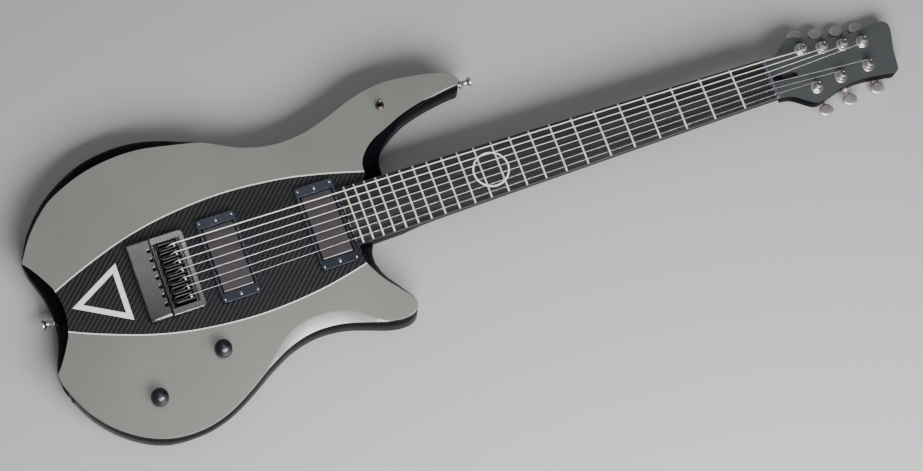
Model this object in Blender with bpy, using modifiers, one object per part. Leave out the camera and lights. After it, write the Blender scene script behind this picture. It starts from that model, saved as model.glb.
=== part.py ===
# Seven-string solid-body electric guitar, lying on its back.
# X runs from the saddle line (X = 0) along the strings to the headstock, Y to the bass side,
# and Z up through the face. Z = 0 is the flat back of the body. All lengths are in metres.

import bpy
import bmesh
from math import atan2, cos, hypot, pi, radians, sin
from mathutils import Matrix, Vector

MM = 0.001

# Strings and scale
SCALE_LENGTH = 685.8 * MM
STRING_DIAMETERS = [1.57 * MM, 1.17 * MM, 0.91 * MM, 0.66 * MM, 0.43 * MM, 0.33 * MM, 0.28 * MM]
STRING_SPACING_AT_NUT = 6.9 * MM
STRING_SPACING_AT_SADDLE = 10.3 * MM
STRING_HEIGHT_AT_NUT = 0.6 * MM
STRING_HEIGHT_AT_SADDLE = 4.2 * MM
TURNS_ON_POST = [1.25, 1.5, 1.5, 2, 2.5, 2.5, 2.5]
GAP_IN_WINDING = 0.5 * MM

# Gap that two touching pieces keep
CLEARANCE = 0.3 * MM

# Body
BODY_THICKNESS = 42.0 * MM
TOP_THICKNESS = 6.0 * MM
EDGE_LAND = 1.0 * MM
PURFLING_WIDTH = 1.6 * MM
OUTLINE_STEP = 12.0 * MM

# Neck and fingerboard
FRET_COUNT = 22
FRET_PLANE = 51.0 * MM
FRET_HEIGHT = 1.2 * MM
FRET_SINK = 0.25 * MM
BOARD_THICKNESS = 6.5 * MM
BOARD_RADIUS = 406.0 * MM
BOARD_BEYOND_LAST_FRET = 8.0 * MM
NUT_WIDTH = 48.2 * MM
LAST_FRET_WIDTH = 68.6 * MM
NUT_LENGTH = 3.2 * MM
TENON_SHORTER_THAN_BOARD = 1.8 * MM
NECK_DEPTH_AT_NUT = 14.0 * MM
NECK_DEPTH_AT_BODY = 16.6 * MM
HEEL_DEPTH = 18.0 * MM
HEEL_FRONT = 238.0 * MM

# Headstock, in its own frame: U along the face, V to the bass side, W out of the face
HEADSTOCK_TILT = radians(8.6)
HEADSTOCK_THICKNESS = 13.0 * MM

# Truss rod
ROD_RADIUS = 2.6 * MM
ROD_NUT_RADIUS = 3.8 * MM
ROD_DROP = 6.5 * MM
ROD_START = 200.0 * MM
ROD_SLOT_LENGTH = 34.0 * MM
ROD_SLOT_WIDTH = 9.6 * MM
ROD_SLOT_DEPTH = 9.0 * MM

# Tuners
POST_RADIUS = 3.0 * MM
POST_WAIST_RADIUS = 3.1 * MM
POST_CAP_RADIUS = 4.6 * MM
POST_FLANGE_RADIUS = 4.2 * MM
POST_HEIGHT = 11.4 * MM
BUSHING_RADIUS = 5.0 * MM
WASHER_RADIUS = 8.0 * MM
WASHER_THICKNESS = 1.2 * MM
TUNER_NUT_RADIUS = 6.2 * MM
TUNER_NUT_THICKNESS = 1.8 * MM
CASE_WIDTH = 16.0 * MM
CASE_DEPTH = 8.7 * MM
CASE_BEHIND_POST = 7.5 * MM
CASE_BEYOND_POST = 12.4 * MM
WORM_OFFSET = 7.8 * MM
WORM_DROP = 4.2 * MM
BUTTON_REACH = 23.3 * MM
BUTTON_WIDTH = 17.4 * MM
BUTTON_LENGTH = 14.0 * MM
BUTTON_THICKNESS = 6.0 * MM
SHAFT_RADIUS = 2.0 * MM

# Bridge
BRIDGE_WIDTH = 92.0 * MM
BRIDGE_FRONT = 10.0 * MM
FRAME_BACK = -27.5 * MM
BLOCK_BACK = -53.5 * MM
FRAME_HEIGHT = 7.0 * MM
BLOCK_HEIGHT = 8.0 * MM
WINDOW_FRONT = 5.0 * MM
WINDOW_BACK = -26.0 * MM
WINDOW_WIDTH = 77.0 * MM
FRAME_CORNER = 4.5 * MM
PAN_WALL = 1.4 * MM
PAN_DEPTH = 14.0 * MM
SADDLE_WIDTH = 8.8 * MM
SADDLE_WALL = 2.0 * MM
SADDLE_BACK = -23.0 * MM
SADDLE_FRONT = 1.6 * MM
SADDLE_RISE = 4.0 * MM
SADDLE_CHANNEL_DEPTH = 9.0 * MM
SADDLE_TRAVEL = 1.5 * MM
SCREW_PITCH = 10.65 * MM
SCREW_LINE = -31.0 * MM

# Pickups
RING_LENGTH = 99.4 * MM
RING_WIDTH = 43.8 * MM
RING_HEIGHT = 4.8 * MM
RING_CORNER = 3.0 * MM
PICKUP_LENGTH = 76.4 * MM
PICKUP_WIDTH = 35.0 * MM
PICKUP_HEIGHT = 19.0 * MM
PICKUP_TOP = 47.4 * MM
PICKUP_GAP = 0.9 * MM
PICKUP_TRAVEL_DOWN = 3.0 * MM
RING_TO_BOARD = 0.8 * MM
BRIDGE_PICKUP_X = 48.5 * MM
HEIGHT_SCREW_REACH = 44.4 * MM
HEIGHT_SCREW_RADIUS = 1.5 * MM
EAR_WIDTH = 12.0 * MM
EAR_THICKNESS = 2.0 * MM
EAR_OVERHANG = 3.5 * MM

# Controls
KNOB_PLACES = {"volume_knob": (10.8 * MM, -97.6 * MM), "tone_knob": (-69.8 * MM, -126.8 * MM)}
KNOB_RADIUS = 9.6 * MM
KNOB_HEIGHT = 15.5 * MM
KNOB_SHAFT_RADIUS = 3.0 * MM
KNOB_SHAFT_DEPTH = 14.0 * MM
SWITCH_PLACE = (263.2 * MM, 114.0 * MM)
SWITCH_LEVER_HEIGHT = 18.0 * MM
SWITCH_NUT_RADIUS = 5.2 * MM
SWITCH_NUT_HEIGHT = 3.4 * MM
SWITCH_THREAD_RADIUS = 4.3 * MM
SWITCH_BORE_RADIUS = 3.1 * MM
SWITCH_PIVOT_DROP = 4.0 * MM
SWITCH_DEPTH = 10.0 * MM

# Output jack, in the tail side of the lower rim
JACK_Y = -84.0 * MM
JACK_HEIGHT = 20.0 * MM
JACK_SEAT = -157.5 * MM
JACK_FLANGE_RADIUS = 10.8 * MM
JACK_FLANGE_THICKNESS = 2.2 * MM
JACK_BARREL_RADIUS = 8.4 * MM
JACK_BARREL_LENGTH = 30.0 * MM
JACK_BORE_RADIUS = 3.35 * MM
JACK_BORE_DEPTH = 26.0 * MM

# Strap buttons
STRAP_FLANGE_RADIUS = 5.6 * MM
STRAP_WAIST_RADIUS = 2.9 * MM
STRAP_LENGTH = 14.0 * MM
STRAP_SCREW_RADIUS = 2.0 * MM
STRAP_SCREW_LENGTH = 18.0 * MM
TAIL_STRAP_HEIGHT = 18.0 * MM
HORN_STRAP_PLACE = (357.6 * MM, 114.2 * MM, 28.0 * MM)

# Cover on the back
COVER_THICKNESS = 2.0 * MM
CONTROL_COVER_CENTRE = (-35.0 * MM, -112.0 * MM)
CONTROL_COVER_HALF = (58.0 * MM, 28.0 * MM)

# Triangle inlay
TRIANGLE_APEX = -128.0 * MM
TRIANGLE_BASE = -69.0 * MM
TRIANGLE_STRIP = 6.0 * MM
INLAY_DEPTH = 1.5 * MM

# Outline stations in mm: x, y, width of the top bevel, its drop, radius of the back edge.
FOREARM = [(-165, 66, 0.6, 2, 5), (-150, 98, 4.6, 6, 9), (-125, 127.6, 7.2, 9, 14), (-100, 146, 10.9, 10, 16),
           (-75, 158.4, 13.8, 11, 16), (-50, 164.4, 14.6, 11, 16), (-25, 166, 14.1, 11, 16),
           (0, 163, 12.2, 10, 16), (25, 155, 9.1, 8, 14), (45, 146, 4.5, 5, 12), (62, 138, 0.8, 1.2, 10),
           (80, 128.6, 0.8, 1, 9), (100, 118.5, 0.8, 1, 9), (124, 111.2, 0.8, 1, 9), (146, 109, 0.8, 1, 9),
           (172, 111.4, 0.8, 1, 9), (200, 119.6, 0.8, 1, 8), (227, 130, 0.8, 1, 7), (250, 136.8, 0.8, 1, 7),
           (275, 140, 0.8, 1, 6), (297, 138.5, 0.8, 1, 6), (321, 135, 0.8, 1, 5), (341, 129.6, 0.8, 1, 5),
           (353.4, 122.4, 0.8, 1, 4), (357.8, 115.3, 0.8, 1, 3), (354.3, 110.4, 0.8, 1, 3)]
INNER_HORN = [(354.3, 110.4, 0.8, 1, 3), (336, 107.8, 1, 1.2, 4), (312, 103.2, 1.3, 1.8, 5),
              (295, 98.4, 1.8, 2.5, 6), (280, 92.8, 2.4, 4, 6), (271, 88, 3.2, 6, 6), (262, 82, 5, 9, 6),
              (251, 73.8, 8.6, 12, 6), (244.3, 63, 14.6, 14, 6), (241, 51.5, 19.2, 15, 6), (240, 38, 19.8, 15.5, 5)]
HEEL = [(240, 38, 19.8, 15.5, 5), (201, -38, 13, 15, 5)]
SHORT_HORN = [(201, -38, 13, 15, 5), (199.2, -46, 12, 15, 5), (199, -54, 10.5, 14, 5), (201.7, -65.7, 7.3, 12, 5),
              (205.2, -73.9, 6.2, 11, 5), (209.8, -81.8, 5.3, 9, 5), (214.8, -89.8, 4.2, 7, 5),
              (220, -98.5, 3, 5, 5), (224.5, -106.5, 1.5, 2.5, 5), (226.3, -115, 0.8, 1, 5),
              (223, -122.5, 0.8, 1, 5), (215, -127, 0.8, 1, 5), (204, -128.2, 0.8, 1, 6), (188, -125.6, 1, 1, 7)]
WAIST_CARVE = [(188, -125.6, 1, 1, 7), (175, -121.3, 4.5, 2, 8), (162, -116.7, 9.5, 3.5, 8),
               (150, -112.8, 12.5, 4.4, 8), (137, -110.1, 13.8, 5, 8), (125, -108.9, 14.2, 5, 8),
               (112, -109.1, 14, 5, 8), (100, -110.9, 13.4, 4.8, 8), (88, -114.3, 11.8, 4.2, 9),
               (75, -119.6, 8.6, 3.2, 10), (62, -126.6, 4.5, 1.8, 11), (50, -133.6, 1, 1, 12)]
LOWER_BOUT = [(50, -133.6, 1, 1, 12), (25, -150, 0.8, 1, 14), (0, -164, 0.8, 1, 17), (-25, -172.5, 0.8, 1, 18),
              (-50, -175, 0.8, 1, 18), (-75, -171.7, 0.8, 1, 13), (-100, -161, 0.8, 1, 11),
              (-125, -142.2, 0.8, 1, 11), (-145, -118, 0.8, 1, 10), (-158, -92, 0.8, 1, 8),
              (-163.6, -75, 0.8, 1.4, 6), (-165, -66, 0.6, 2, 5)]
TAIL_SCOOP = [(-165, -66, 0.6, 2, 5), (-163, -58, 4.3, 5, 5), (-159.6, -48, 7, 8, 5), (-155.6, -36, 9.6, 10, 5),
              (-152.4, -23, 12.4, 12, 5), (-150.8, -11, 13.6, 13, 5), (-150.3, 0, 14, 13, 5),
              (-150.8, 11, 13.6, 13, 5), (-152.4, 23, 12.4, 12, 5), (-155.6, 36, 9.6, 10, 5),
              (-159.6, 48, 7, 8, 5), (-163, 58, 4.3, 5, 5), (-165, 66, 0.6, 2, 5)]
OUTLINE_RUNS = [FOREARM, INNER_HORN, HEEL, SHORT_HORN, WAIST_CARVE, LOWER_BOUT, TAIL_SCOOP]

# Line of the purflings in mm: x and distance from the centreline.
PURFLING_LINE = [(-176, 5), (-140, 23.8), (-100, 41), (-50, 58.2), (0, 68.5), (62, 73.2), (125, 68.8),
                 (175, 59), (221, 46.2), (262, 34)]

# Headstock outline in mm, U and V, from the nut's bass end round to its treble end.
HEADSTOCK_EDGE = [(4, 24.3), (14.2, 26), (21.1, 29.4), (30, 36.9), (35.9, 41.2), (41.3, 43.2), (47.7, 42.3),
                  (59.6, 37.8), (75.4, 32.7), (91.2, 30.3), (106, 29.4), (118.8, 29.8), (136.5, 32.1),
                  (150.3, 34.2), (157.2, 33.7), (162.2, 30.5), (163.7, 24.4), (161.8, 14.9), (157.2, -1),
                  (154.9, -13), (153.6, -22), (151.3, -27.9), (146.9, -30.7), (136.5, -29.8), (118.8, -28.1),
                  (104, -27.8), (91.2, -28.6), (75.4, -31.5), (59.6, -36.7), (50.7, -39.7), (44.8, -40.8),
                  (38.9, -39.6), (29, -33.3), (21.1, -28.1), (14.2, -25.4), (4, -24.3)]
BASS_POSTS = [(48.7, 25.7), (74.1, 21.5), (99.3, 18.3), (123.9, 15.6)]
TREBLE_POSTS = [(118.8, -13.5), (81.5, -18.1), (48.9, -22.8)]

# Heights and lengths that follow from the sizes above
TOP_SEAM = BODY_THICKNESS - TOP_THICKNESS
LAST_FRET = SCALE_LENGTH * 2 ** (-FRET_COUNT / 12)
BOARD_END = LAST_FRET - BOARD_BEYOND_LAST_FRET
NECK_END = BOARD_END + TENON_SHORTER_THAN_BOARD
NECK_PICKUP_X = BOARD_END - RING_TO_BOARD - RING_WIDTH / 2
BOARD_TOP = FRET_PLANE - FRET_HEIGHT
BOARD_BOTTOM = BOARD_TOP - BOARD_THICKNESS
NECK_TOP = BOARD_BOTTOM - CLEARANCE
NUT_BACK = SCALE_LENGTH + NUT_LENGTH
FACE_GAP = BODY_THICKNESS + CLEARANCE
PAN_FLOOR = BODY_THICKNESS - PAN_DEPTH
SADDLE_BOTTOM = PAN_FLOOR + PAN_WALL + CLEARANCE


def clear_scene():
    for item in list(bpy.data.objects):
        bpy.data.objects.remove(item)


def collection(name):
    group = bpy.data.collections.new(name)
    bpy.context.scene.collection.children.link(group)
    return group


def finish(name, colour, metallic, roughness):
    material = bpy.data.materials.new(name)
    material.use_nodes = True
    shader = material.node_tree.nodes["Principled BSDF"]
    shader.inputs["Base Color"].default_value = (*colour, 1.0)
    shader.inputs["Metallic"].default_value = metallic
    shader.inputs["Roughness"].default_value = roughness
    return material


def add(name, mesh, material=None, group=None):
    piece = bpy.data.objects.new(name, mesh)
    (group or PIECES).objects.link(piece)
    if material:
        mesh.materials.clear()
        mesh.materials.append(material)
    return piece


def from_bmesh(name, bm):
    mesh = bpy.data.meshes.new(name)
    bmesh.ops.recalc_face_normals(bm, faces=bm.faces)
    bm.to_mesh(mesh)
    bm.free()
    return mesh


def smooth_round(piece, angle=40.0):
    piece.data.shade_smooth()
    piece.data.set_sharp_from_angle(angle=radians(angle))


# A smooth line through points of any number of values, with a sample about every step.
def smooth_line(points, step):
    line = []
    ends = [points[0]] + list(points) + [points[-1]]
    for a, b, c, d in zip(ends, ends[1:], ends[2:], ends[3:]):
        count = max(1, round(hypot(c[0] - b[0], c[1] - b[1]) / step))
        for k in range(count):
            t = k / count
            line.append(tuple(0.5 * (2 * q + (r - p) * t + (2 * p - 5 * q + 4 * r - s) * t * t
                                     + (3 * q - p - 3 * r + s) * t ** 3)
                              for p, q, r, s in zip(a, b, c, d)))
    line.append(tuple(points[-1]))
    return line


# Points of a flat line moved sideways, to its left when distance is positive.
def offset_line(line, distance, closed=False):
    moved = []
    last = len(line) - 1
    for i, (x, y) in enumerate(line):
        before = line[i - 1] if closed or i > 0 else line[0]
        after = line[(i + 1) % len(line)] if closed or i < last else line[last]
        along = Vector((after[0] - before[0], after[1] - before[1])).normalized()
        reach = distance[i] if isinstance(distance, list) else distance
        moved.append((x - along.y * reach, y + along.x * reach))
    return moved


def loft_mesh(name, rings):
    bm = bmesh.new()
    loops = [[bm.verts.new(point) for point in ring] for ring in rings]
    for low, high in zip(loops, loops[1:]):
        for i in range(len(low)):
            j = (i + 1) % len(low)
            bm.faces.new((low[i], low[j], high[j], high[i]))
    bm.faces.new(loops[0])
    bm.faces.new(loops[-1])
    return from_bmesh(name, bm)


# A flat plate from its outline, between two heights.
def plate_mesh(name, outline, low, high):
    curve = bpy.data.curves.new(name, "CURVE")
    curve.dimensions = "2D"
    curve.fill_mode = "BOTH"
    curve.extrude = (high - low) / 2
    spline = curve.splines.new("POLY")
    spline.points.add(len(outline) - 1)
    for point, (x, y) in zip(spline.points, outline):
        point.co = (x, y, 0, 1)
    spline.use_cyclic_u = True
    return curve_to_mesh(name, curve, Matrix.Translation((0, 0, (low + high) / 2)))


def curve_to_mesh(name, curve, matrix=None):
    holder = bpy.data.objects.new(name + "_curve", curve)
    PIECES.objects.link(holder)
    graph = bpy.context.evaluated_depsgraph_get()
    mesh = bpy.data.meshes.new_from_object(holder.evaluated_get(graph))
    bpy.data.objects.remove(holder)
    bm = bmesh.new()
    bm.from_mesh(mesh)
    bmesh.ops.remove_doubles(bm, verts=bm.verts, dist=1e-6)
    if matrix:
        bmesh.ops.transform(bm, matrix=matrix, verts=bm.verts)
    bpy.data.meshes.remove(mesh)
    return from_bmesh(name, bm)


def box_mesh(name, low, high):
    bm = bmesh.new()
    bmesh.ops.create_cube(bm, size=1.0)
    size = Vector(high) - Vector(low)
    centre = (Vector(high) + Vector(low)) / 2
    bmesh.ops.transform(bm, matrix=Matrix.Translation(centre) @ Matrix.Diagonal((*size, 1)), verts=bm.verts)
    return from_bmesh(name, bm)


# A cylinder or cone from the origin side at low to high along Z, then turned and moved by the matrix.
def rod_mesh(name, radius, low, high, sides=16, top_radius=None, matrix=None):
    bm = bmesh.new()
    bmesh.ops.create_cone(bm, cap_ends=True, segments=sides, radius1=radius,
                          radius2=radius if top_radius is None else top_radius, depth=high - low)
    place = Matrix.Translation((0, 0, (low + high) / 2))
    bmesh.ops.transform(bm, matrix=(matrix @ place) if matrix else place, verts=bm.verts)
    return from_bmesh(name, bm)


# A turned piece about Z; its profile of radius and height runs down the outer side.
def turned(name, profile, steps, material, group=None, closed=False):
    mesh = bpy.data.meshes.new(name)
    edges = [(i, i + 1) for i in range(len(profile) - 1)]
    if closed:
        edges.append((len(profile) - 1, 0))
    mesh.from_pydata([(r, 0, z) for r, z in profile], edges, [])
    piece = add(name, mesh, material, group)
    screw = piece.modifiers.new("turn", "SCREW")
    screw.steps = steps
    screw.render_steps = steps
    screw.use_merge_vertices = True
    screw.merge_threshold = 0.00001
    screw.use_smooth_shade = True
    return piece


def boolean(piece, other, operation):
    step = piece.modifiers.new(operation.lower(), "BOOLEAN")
    step.operation = operation
    step.solver = "EXACT"
    step.object = other
    return piece


def cutter(name, mesh, matrix=None):
    tool = add(name, mesh, group=CUTTERS)
    tool.hide_render = True
    tool.display_type = "WIRE"
    if matrix:
        tool.matrix_world = matrix
    return tool


def cut(piece, mesh, matrix=None):
    return boolean(piece, cutter(piece.name + "_cut", mesh, matrix), "DIFFERENCE")


def join(piece, mesh, matrix=None):
    return boolean(piece, cutter(piece.name + "_join", mesh, matrix), "UNION")


# Several closed meshes in one, for a single cut.
def together(name, meshes):
    bm = bmesh.new()
    for mesh in meshes:
        bm.from_mesh(mesh)
        bpy.data.meshes.remove(mesh)
    return from_bmesh(name, bm)


def round_edges(piece, width, segments=1, angle=40.0):
    bevel = piece.modifiers.new("round", "BEVEL")
    bevel.width = width
    bevel.segments = segments
    bevel.limit_method = "ANGLE"
    bevel.angle_limit = radians(angle)
    return piece


# A rectangle with rounded corners; corners left of its middle can stay square.
def soft_rectangle(low, high, radius, square_left=False):
    points = []
    for x, y, turn in ((high[0], high[1], 0), (low[0], high[1], 1), (low[0], low[1], 2), (high[0], low[1], 3)):
        if square_left and turn in (1, 2):
            points.append((x, y))
            continue
        centre = (x - radius if turn in (0, 3) else x + radius, y - radius if turn in (0, 1) else y + radius)
        for k in range(4):
            a = pi / 2 * (turn + k / 3)
            points.append((centre[0] + radius * cos(a), centre[1] + radius * sin(a)))
    return points


def oval(centre, half, sides, power=2.0):
    points = []
    for k in range(sides):
        a = 2 * pi * k / sides
        c, s = cos(a), sin(a)
        points.append((centre[0] + half[0] * abs(c) ** (2 / power) * (1 if c >= 0 else -1),
                       centre[1] + half[1] * abs(s) ** (2 / power) * (1 if s >= 0 else -1)))
    return points


# Height of a surface that follows the fingerboard's radius, against its centreline.
def crown(y):
    return -y * y / (2 * BOARD_RADIUS)


def board_half_width(x):
    taper = (LAST_FRET_WIDTH - NUT_WIDTH) / 2 / (SCALE_LENGTH - LAST_FRET)
    return NUT_WIDTH / 2 + (SCALE_LENGTH - x) * taper


def body_outline():
    stations = []
    for run in OUTLINE_RUNS:
        scaled = [tuple(value * MM for value in station) for station in run]
        stations += smooth_line(scaled, OUTLINE_STEP)[:-1]
    return stations


# The outline at a height: the top bevel and the rounded back edge draw it in.
def outline_at(stations, insets, heights):
    flat = [(s[0], s[1]) for s in stations]
    moved = offset_line(flat, [-inset for inset in insets], closed=True)
    return [(x, y, z) for (x, y), z in zip(moved, heights)]


# Part of the bevel's width that is left at a depth below the top.
def bevel_inset(station, depth):
    width, drop = station[2], station[3]
    return width * max(0.0, 1 - depth / drop)


def make_body(stations):
    seam = TOP_THICKNESS + CLEARANCE
    top = outline_at(stations, [bevel_inset(s, seam) for s in stations], [TOP_SEAM - CLEARANCE] * len(stations))
    edge = outline_at(stations, [0.0] * len(stations),
                      [min(BODY_THICKNESS - s[3], TOP_SEAM - EDGE_LAND) for s in stations])
    rings = [top, edge]
    for degrees in (0, 45, 90):
        a = radians(degrees)
        rings.append(outline_at(stations, [s[4] * (1 - cos(a)) for s in stations],
                                [s[4] * (1 - sin(a)) for s in stations]))
    body = add("body_back", loft_mesh("body_back", rings), FINISHES["black_lacquer"])
    cut(body, neck_solid("neck_pocket", CLEARANCE))
    for x in (NECK_PICKUP_X, BRIDGE_PICKUP_X):
        floor = PICKUP_TOP - PICKUP_HEIGHT - PICKUP_TRAVEL_DOWN - 2 * CLEARANCE
        cut_pickup_hollow(body, x, floor)
    cut(body, pan_space("bridge_cavity", CLEARANCE))
    holes = [rod_mesh("hole", KNOB_SHAFT_RADIUS + CLEARANCE, BODY_THICKNESS - KNOB_SHAFT_DEPTH - CLEARANCE,
                      BODY_THICKNESS, 12, matrix=Matrix.Translation((*place, 0)))
             for place in KNOB_PLACES.values()]
    holes.append(rod_mesh("hole", SWITCH_THREAD_RADIUS + CLEARANCE, BODY_THICKNESS - SWITCH_DEPTH - CLEARANCE,
                          BODY_THICKNESS, 16, matrix=Matrix.Translation((*SWITCH_PLACE, 0))))
    holes.append(rod_mesh("hole", JACK_FLANGE_RADIUS + CLEARANCE, 0, 20 * MM, 24,
                          matrix=jack_frame() @ Matrix.Translation((0, 0, 0))))
    holes.append(strap_hole(tail_strap_frame()))
    holes.append(strap_hole(horn_strap_frame()))
    cut(body, together("holes", holes))
    cut(body, rod_mesh("hole", JACK_BARREL_RADIUS + CLEARANCE, -JACK_BARREL_LENGTH - CLEARANCE, 5 * MM, 20,
                       matrix=jack_frame()))
    cut(body, plate_mesh("recess", control_cover_outline(CLEARANCE), -5 * MM, COVER_THICKNESS + CLEARANCE))


# Frames of pieces that stand out of the rim: Z of the frame points away from the body.
def jack_frame():
    return Matrix.Translation((JACK_SEAT, JACK_Y, JACK_HEIGHT)) @ Matrix.Rotation(-pi / 2, 4, "Y")


def tail_strap_frame():
    tail = min(s[0] for s in TAIL_SCOOP if s[1] == 0) * MM
    return Matrix.Translation((tail - 1.5 * CLEARANCE, 0, TAIL_STRAP_HEIGHT)) @ Matrix.Rotation(-pi / 2, 4, "Y")


def horn_strap_frame():
    x, y, z = HORN_STRAP_PLACE
    return Matrix.Translation((x + CLEARANCE, y, z)) @ Matrix.Rotation(pi / 2, 4, "Y")


def strap_hole(frame):
    return rod_mesh("hole", STRAP_SCREW_RADIUS + CLEARANCE, -STRAP_SCREW_LENGTH - CLEARANCE, 3 * MM, 10,
                    matrix=frame)


def control_cover_outline(grow):
    half = (CONTROL_COVER_HALF[0] + grow, CONTROL_COVER_HALF[1] + grow)
    return oval(CONTROL_COVER_CENTRE, half, 32, 3.2)


# The whole top plate, before the purflings part it into three.
def top_plate_mesh(stations):
    lip = TOP_THICKNESS - EDGE_LAND
    bottom = outline_at(stations, [bevel_inset(s, TOP_THICKNESS) for s in stations], [TOP_SEAM] * len(stations))
    depths = [min(s[3], lip) for s in stations]
    middle = outline_at(stations, [bevel_inset(s, depth) for s, depth in zip(stations, depths)],
                        [BODY_THICKNESS - depth for depth in depths])
    top = outline_at(stations, [s[2] for s in stations], [BODY_THICKNESS] * len(stations))
    return loft_mesh("top_plate", [bottom, middle, top])


def purfling_line(side, sideways=0.0):
    line = smooth_line([(x * MM, y * MM) for x, y in PURFLING_LINE], OUTLINE_STEP * 1.4)
    return [(x, side * y) for x, y in offset_line(line, sideways)]


def tall_plate(name, outline):
    return plate_mesh(name, outline, TOP_SEAM - 10 * MM, BODY_THICKNESS + 10 * MM)


def make_tops(stations):
    plate = top_plate_mesh(stations)
    groove = PURFLING_WIDTH / 2 + CLEARANCE
    beyond = (2 * max(s[0] for s in stations), 2 * max(s[1] for s in stations))
    for name, side in (("upper_top_wing", 1), ("lower_top_wing", -1)):
        edge = purfling_line(side, groove)
        outside = edge + [(beyond[0], edge[-1][1]), (beyond[0], side * beyond[1]), (edge[0][0], side * beyond[1])]
        wing = add(name, plate.copy(), FINISHES["metallic_green_grey"])
        boolean(wing, cutter(name + "_keep", tall_plate(name, outside)), "INTERSECT")
        if side > 0:
            cut(wing, rod_mesh("hole", SWITCH_THREAD_RADIUS + CLEARANCE, 0, 2 * BODY_THICKNESS, 16,
                               matrix=Matrix.Translation((*SWITCH_PLACE, 0))))
        else:
            cut(wing, together("knob_holes", [
                rod_mesh("hole", KNOB_SHAFT_RADIUS + CLEARANCE, 0, 2 * BODY_THICKNESS, 12,
                         matrix=Matrix.Translation((*place, 0))) for place in KNOB_PLACES.values()]))
    for name, side in (("upper_purfling", 1), ("lower_purfling", -1)):
        outer = purfling_line(side, PURFLING_WIDTH / 2)
        inner = purfling_line(side, -PURFLING_WIDTH / 2)
        strip = add(name, plate.copy(), FINISHES["cream_plastic"])
        boolean(strip, cutter(name + "_keep", tall_plate(name, outer + inner[::-1])), "INTERSECT")
    centre = add("carbon_centre_top", plate.copy(), FINISHES["carbon_twill"])
    between = purfling_line(1, -groove) + purfling_line(-1, -groove)[::-1]
    boolean(centre, cutter("carbon_keep", tall_plate("carbon_keep", between)), "INTERSECT")
    cut(centre, neck_notch())
    for x in (NECK_PICKUP_X, BRIDGE_PICKUP_X):
        cut_pickup_hollow(centre, x, 0)
    cut(centre, pan_space("bridge_window", CLEARANCE))
    cut(centre, plate_mesh("triangle_pocket", triangle(TRIANGLE_APEX, TRIANGLE_BASE, CLEARANCE),
                           BODY_THICKNESS - INLAY_DEPTH - CLEARANCE, BODY_THICKNESS + 10 * MM))
    join(centre, plate_mesh("triangle_core", triangle(*inner_triangle(), -CLEARANCE),
                            TOP_SEAM + 2 * MM, BODY_THICKNESS))
    bpy.data.meshes.remove(plate)


# The notch of the neck in the top, wider than the neck by the clearance.
def neck_notch():
    ends = (NECK_END - CLEARANCE, 2 * HEEL_FRONT - NECK_END)
    near, far = (board_half_width(x) + CLEARANCE for x in ends)
    outline = [(ends[0], -near), (ends[1], -far), (ends[1], far), (ends[0], near)]
    return tall_plate("neck_notch", outline)


# An upright equilateral triangle on the centreline that points to the tail, grown sideways all round.
def triangle(apex, base, grow):
    half = (base - apex) / 3 ** 0.5
    slope = grow * 2
    return [(apex - slope, 0), (base + grow, -half - grow * 3 ** 0.5), (base + grow, half + grow * 3 ** 0.5)]


def inner_triangle():
    return TRIANGLE_APEX + 2 * TRIANGLE_STRIP, TRIANGLE_BASE - TRIANGLE_STRIP


def make_triangle_inlay():
    outer = plate_mesh("triangle_inlay", triangle(TRIANGLE_APEX, TRIANGLE_BASE, 0),
                       BODY_THICKNESS - INLAY_DEPTH, BODY_THICKNESS)
    inlay = add("triangle_inlay", outer, FINISHES["white_inlay"])
    cut(inlay, plate_mesh("triangle_middle", triangle(*inner_triangle(), 0), TOP_SEAM, BODY_THICKNESS + 5 * MM))


# One cross-section of the neck: a flat top, short upright sides and a back between round and square.
def neck_ring(x, depth, power, grow=0.0, matrix=None, half=None):
    width = (board_half_width(x) if half is None else half) + grow
    side = 1.5 * MM
    ring = [Vector((x, -width, NECK_TOP)), Vector((x, width, NECK_TOP))]
    if grow:
        ring = [Vector((x, -width, BODY_THICKNESS + 10 * MM)), Vector((x, width, BODY_THICKNESS + 10 * MM))]
    for k in range(13):
        a = pi * k / 12
        c = cos(a)
        y = width * abs(c) ** (2 / power) * (1 if c >= 0 else -1)
        ring.append(Vector((x, y, NECK_TOP - side - (depth + grow - side) * sin(a) ** (2 / power))))
    return [matrix @ point for point in ring] if matrix else ring


def heel_rings(grow):
    start = NECK_END - grow
    return [neck_ring(x, HEEL_DEPTH, 9, grow) for x in (start, HEEL_FRONT + grow)]


# The neck's buried end, grown by a clearance and open upwards, for its pocket in the body.
def neck_solid(name, grow):
    rings = heel_rings(grow)
    rings.append(neck_ring(2 * HEEL_FRONT - NECK_END, HEEL_DEPTH, 9, grow))
    return loft_mesh(name, rings)


def head_frame():
    return Matrix.Translation((NUT_BACK, 0, NECK_TOP)) @ Matrix.Rotation(HEADSTOCK_TILT, 4, "Y")


def headstock_outline():
    edge = smooth_line([(u * MM, v * MM) for u, v in HEADSTOCK_EDGE], OUTLINE_STEP / 2)
    return edge


def head_ring(u, depth, power):
    drop = Matrix.Translation((0, 0, -NECK_TOP - 0.15 * MM))
    return neck_ring(u, depth, power, matrix=head_frame() @ drop, half=NUT_WIDTH / 2)


def rod_slot():
    tip = ROD_SLOT_LENGTH - ROD_SLOT_WIDTH / 2
    half = ROD_SLOT_WIDTH / 2
    outline = [(0.8 * MM, -half)]
    outline += [(tip + half * sin(pi * k / 8), -half * cos(pi * k / 8)) for k in range(9)]
    outline.append((0.8 * MM, half))
    return plate_mesh("rod_slot", outline, -ROD_SLOT_DEPTH, 10 * MM)


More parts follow.
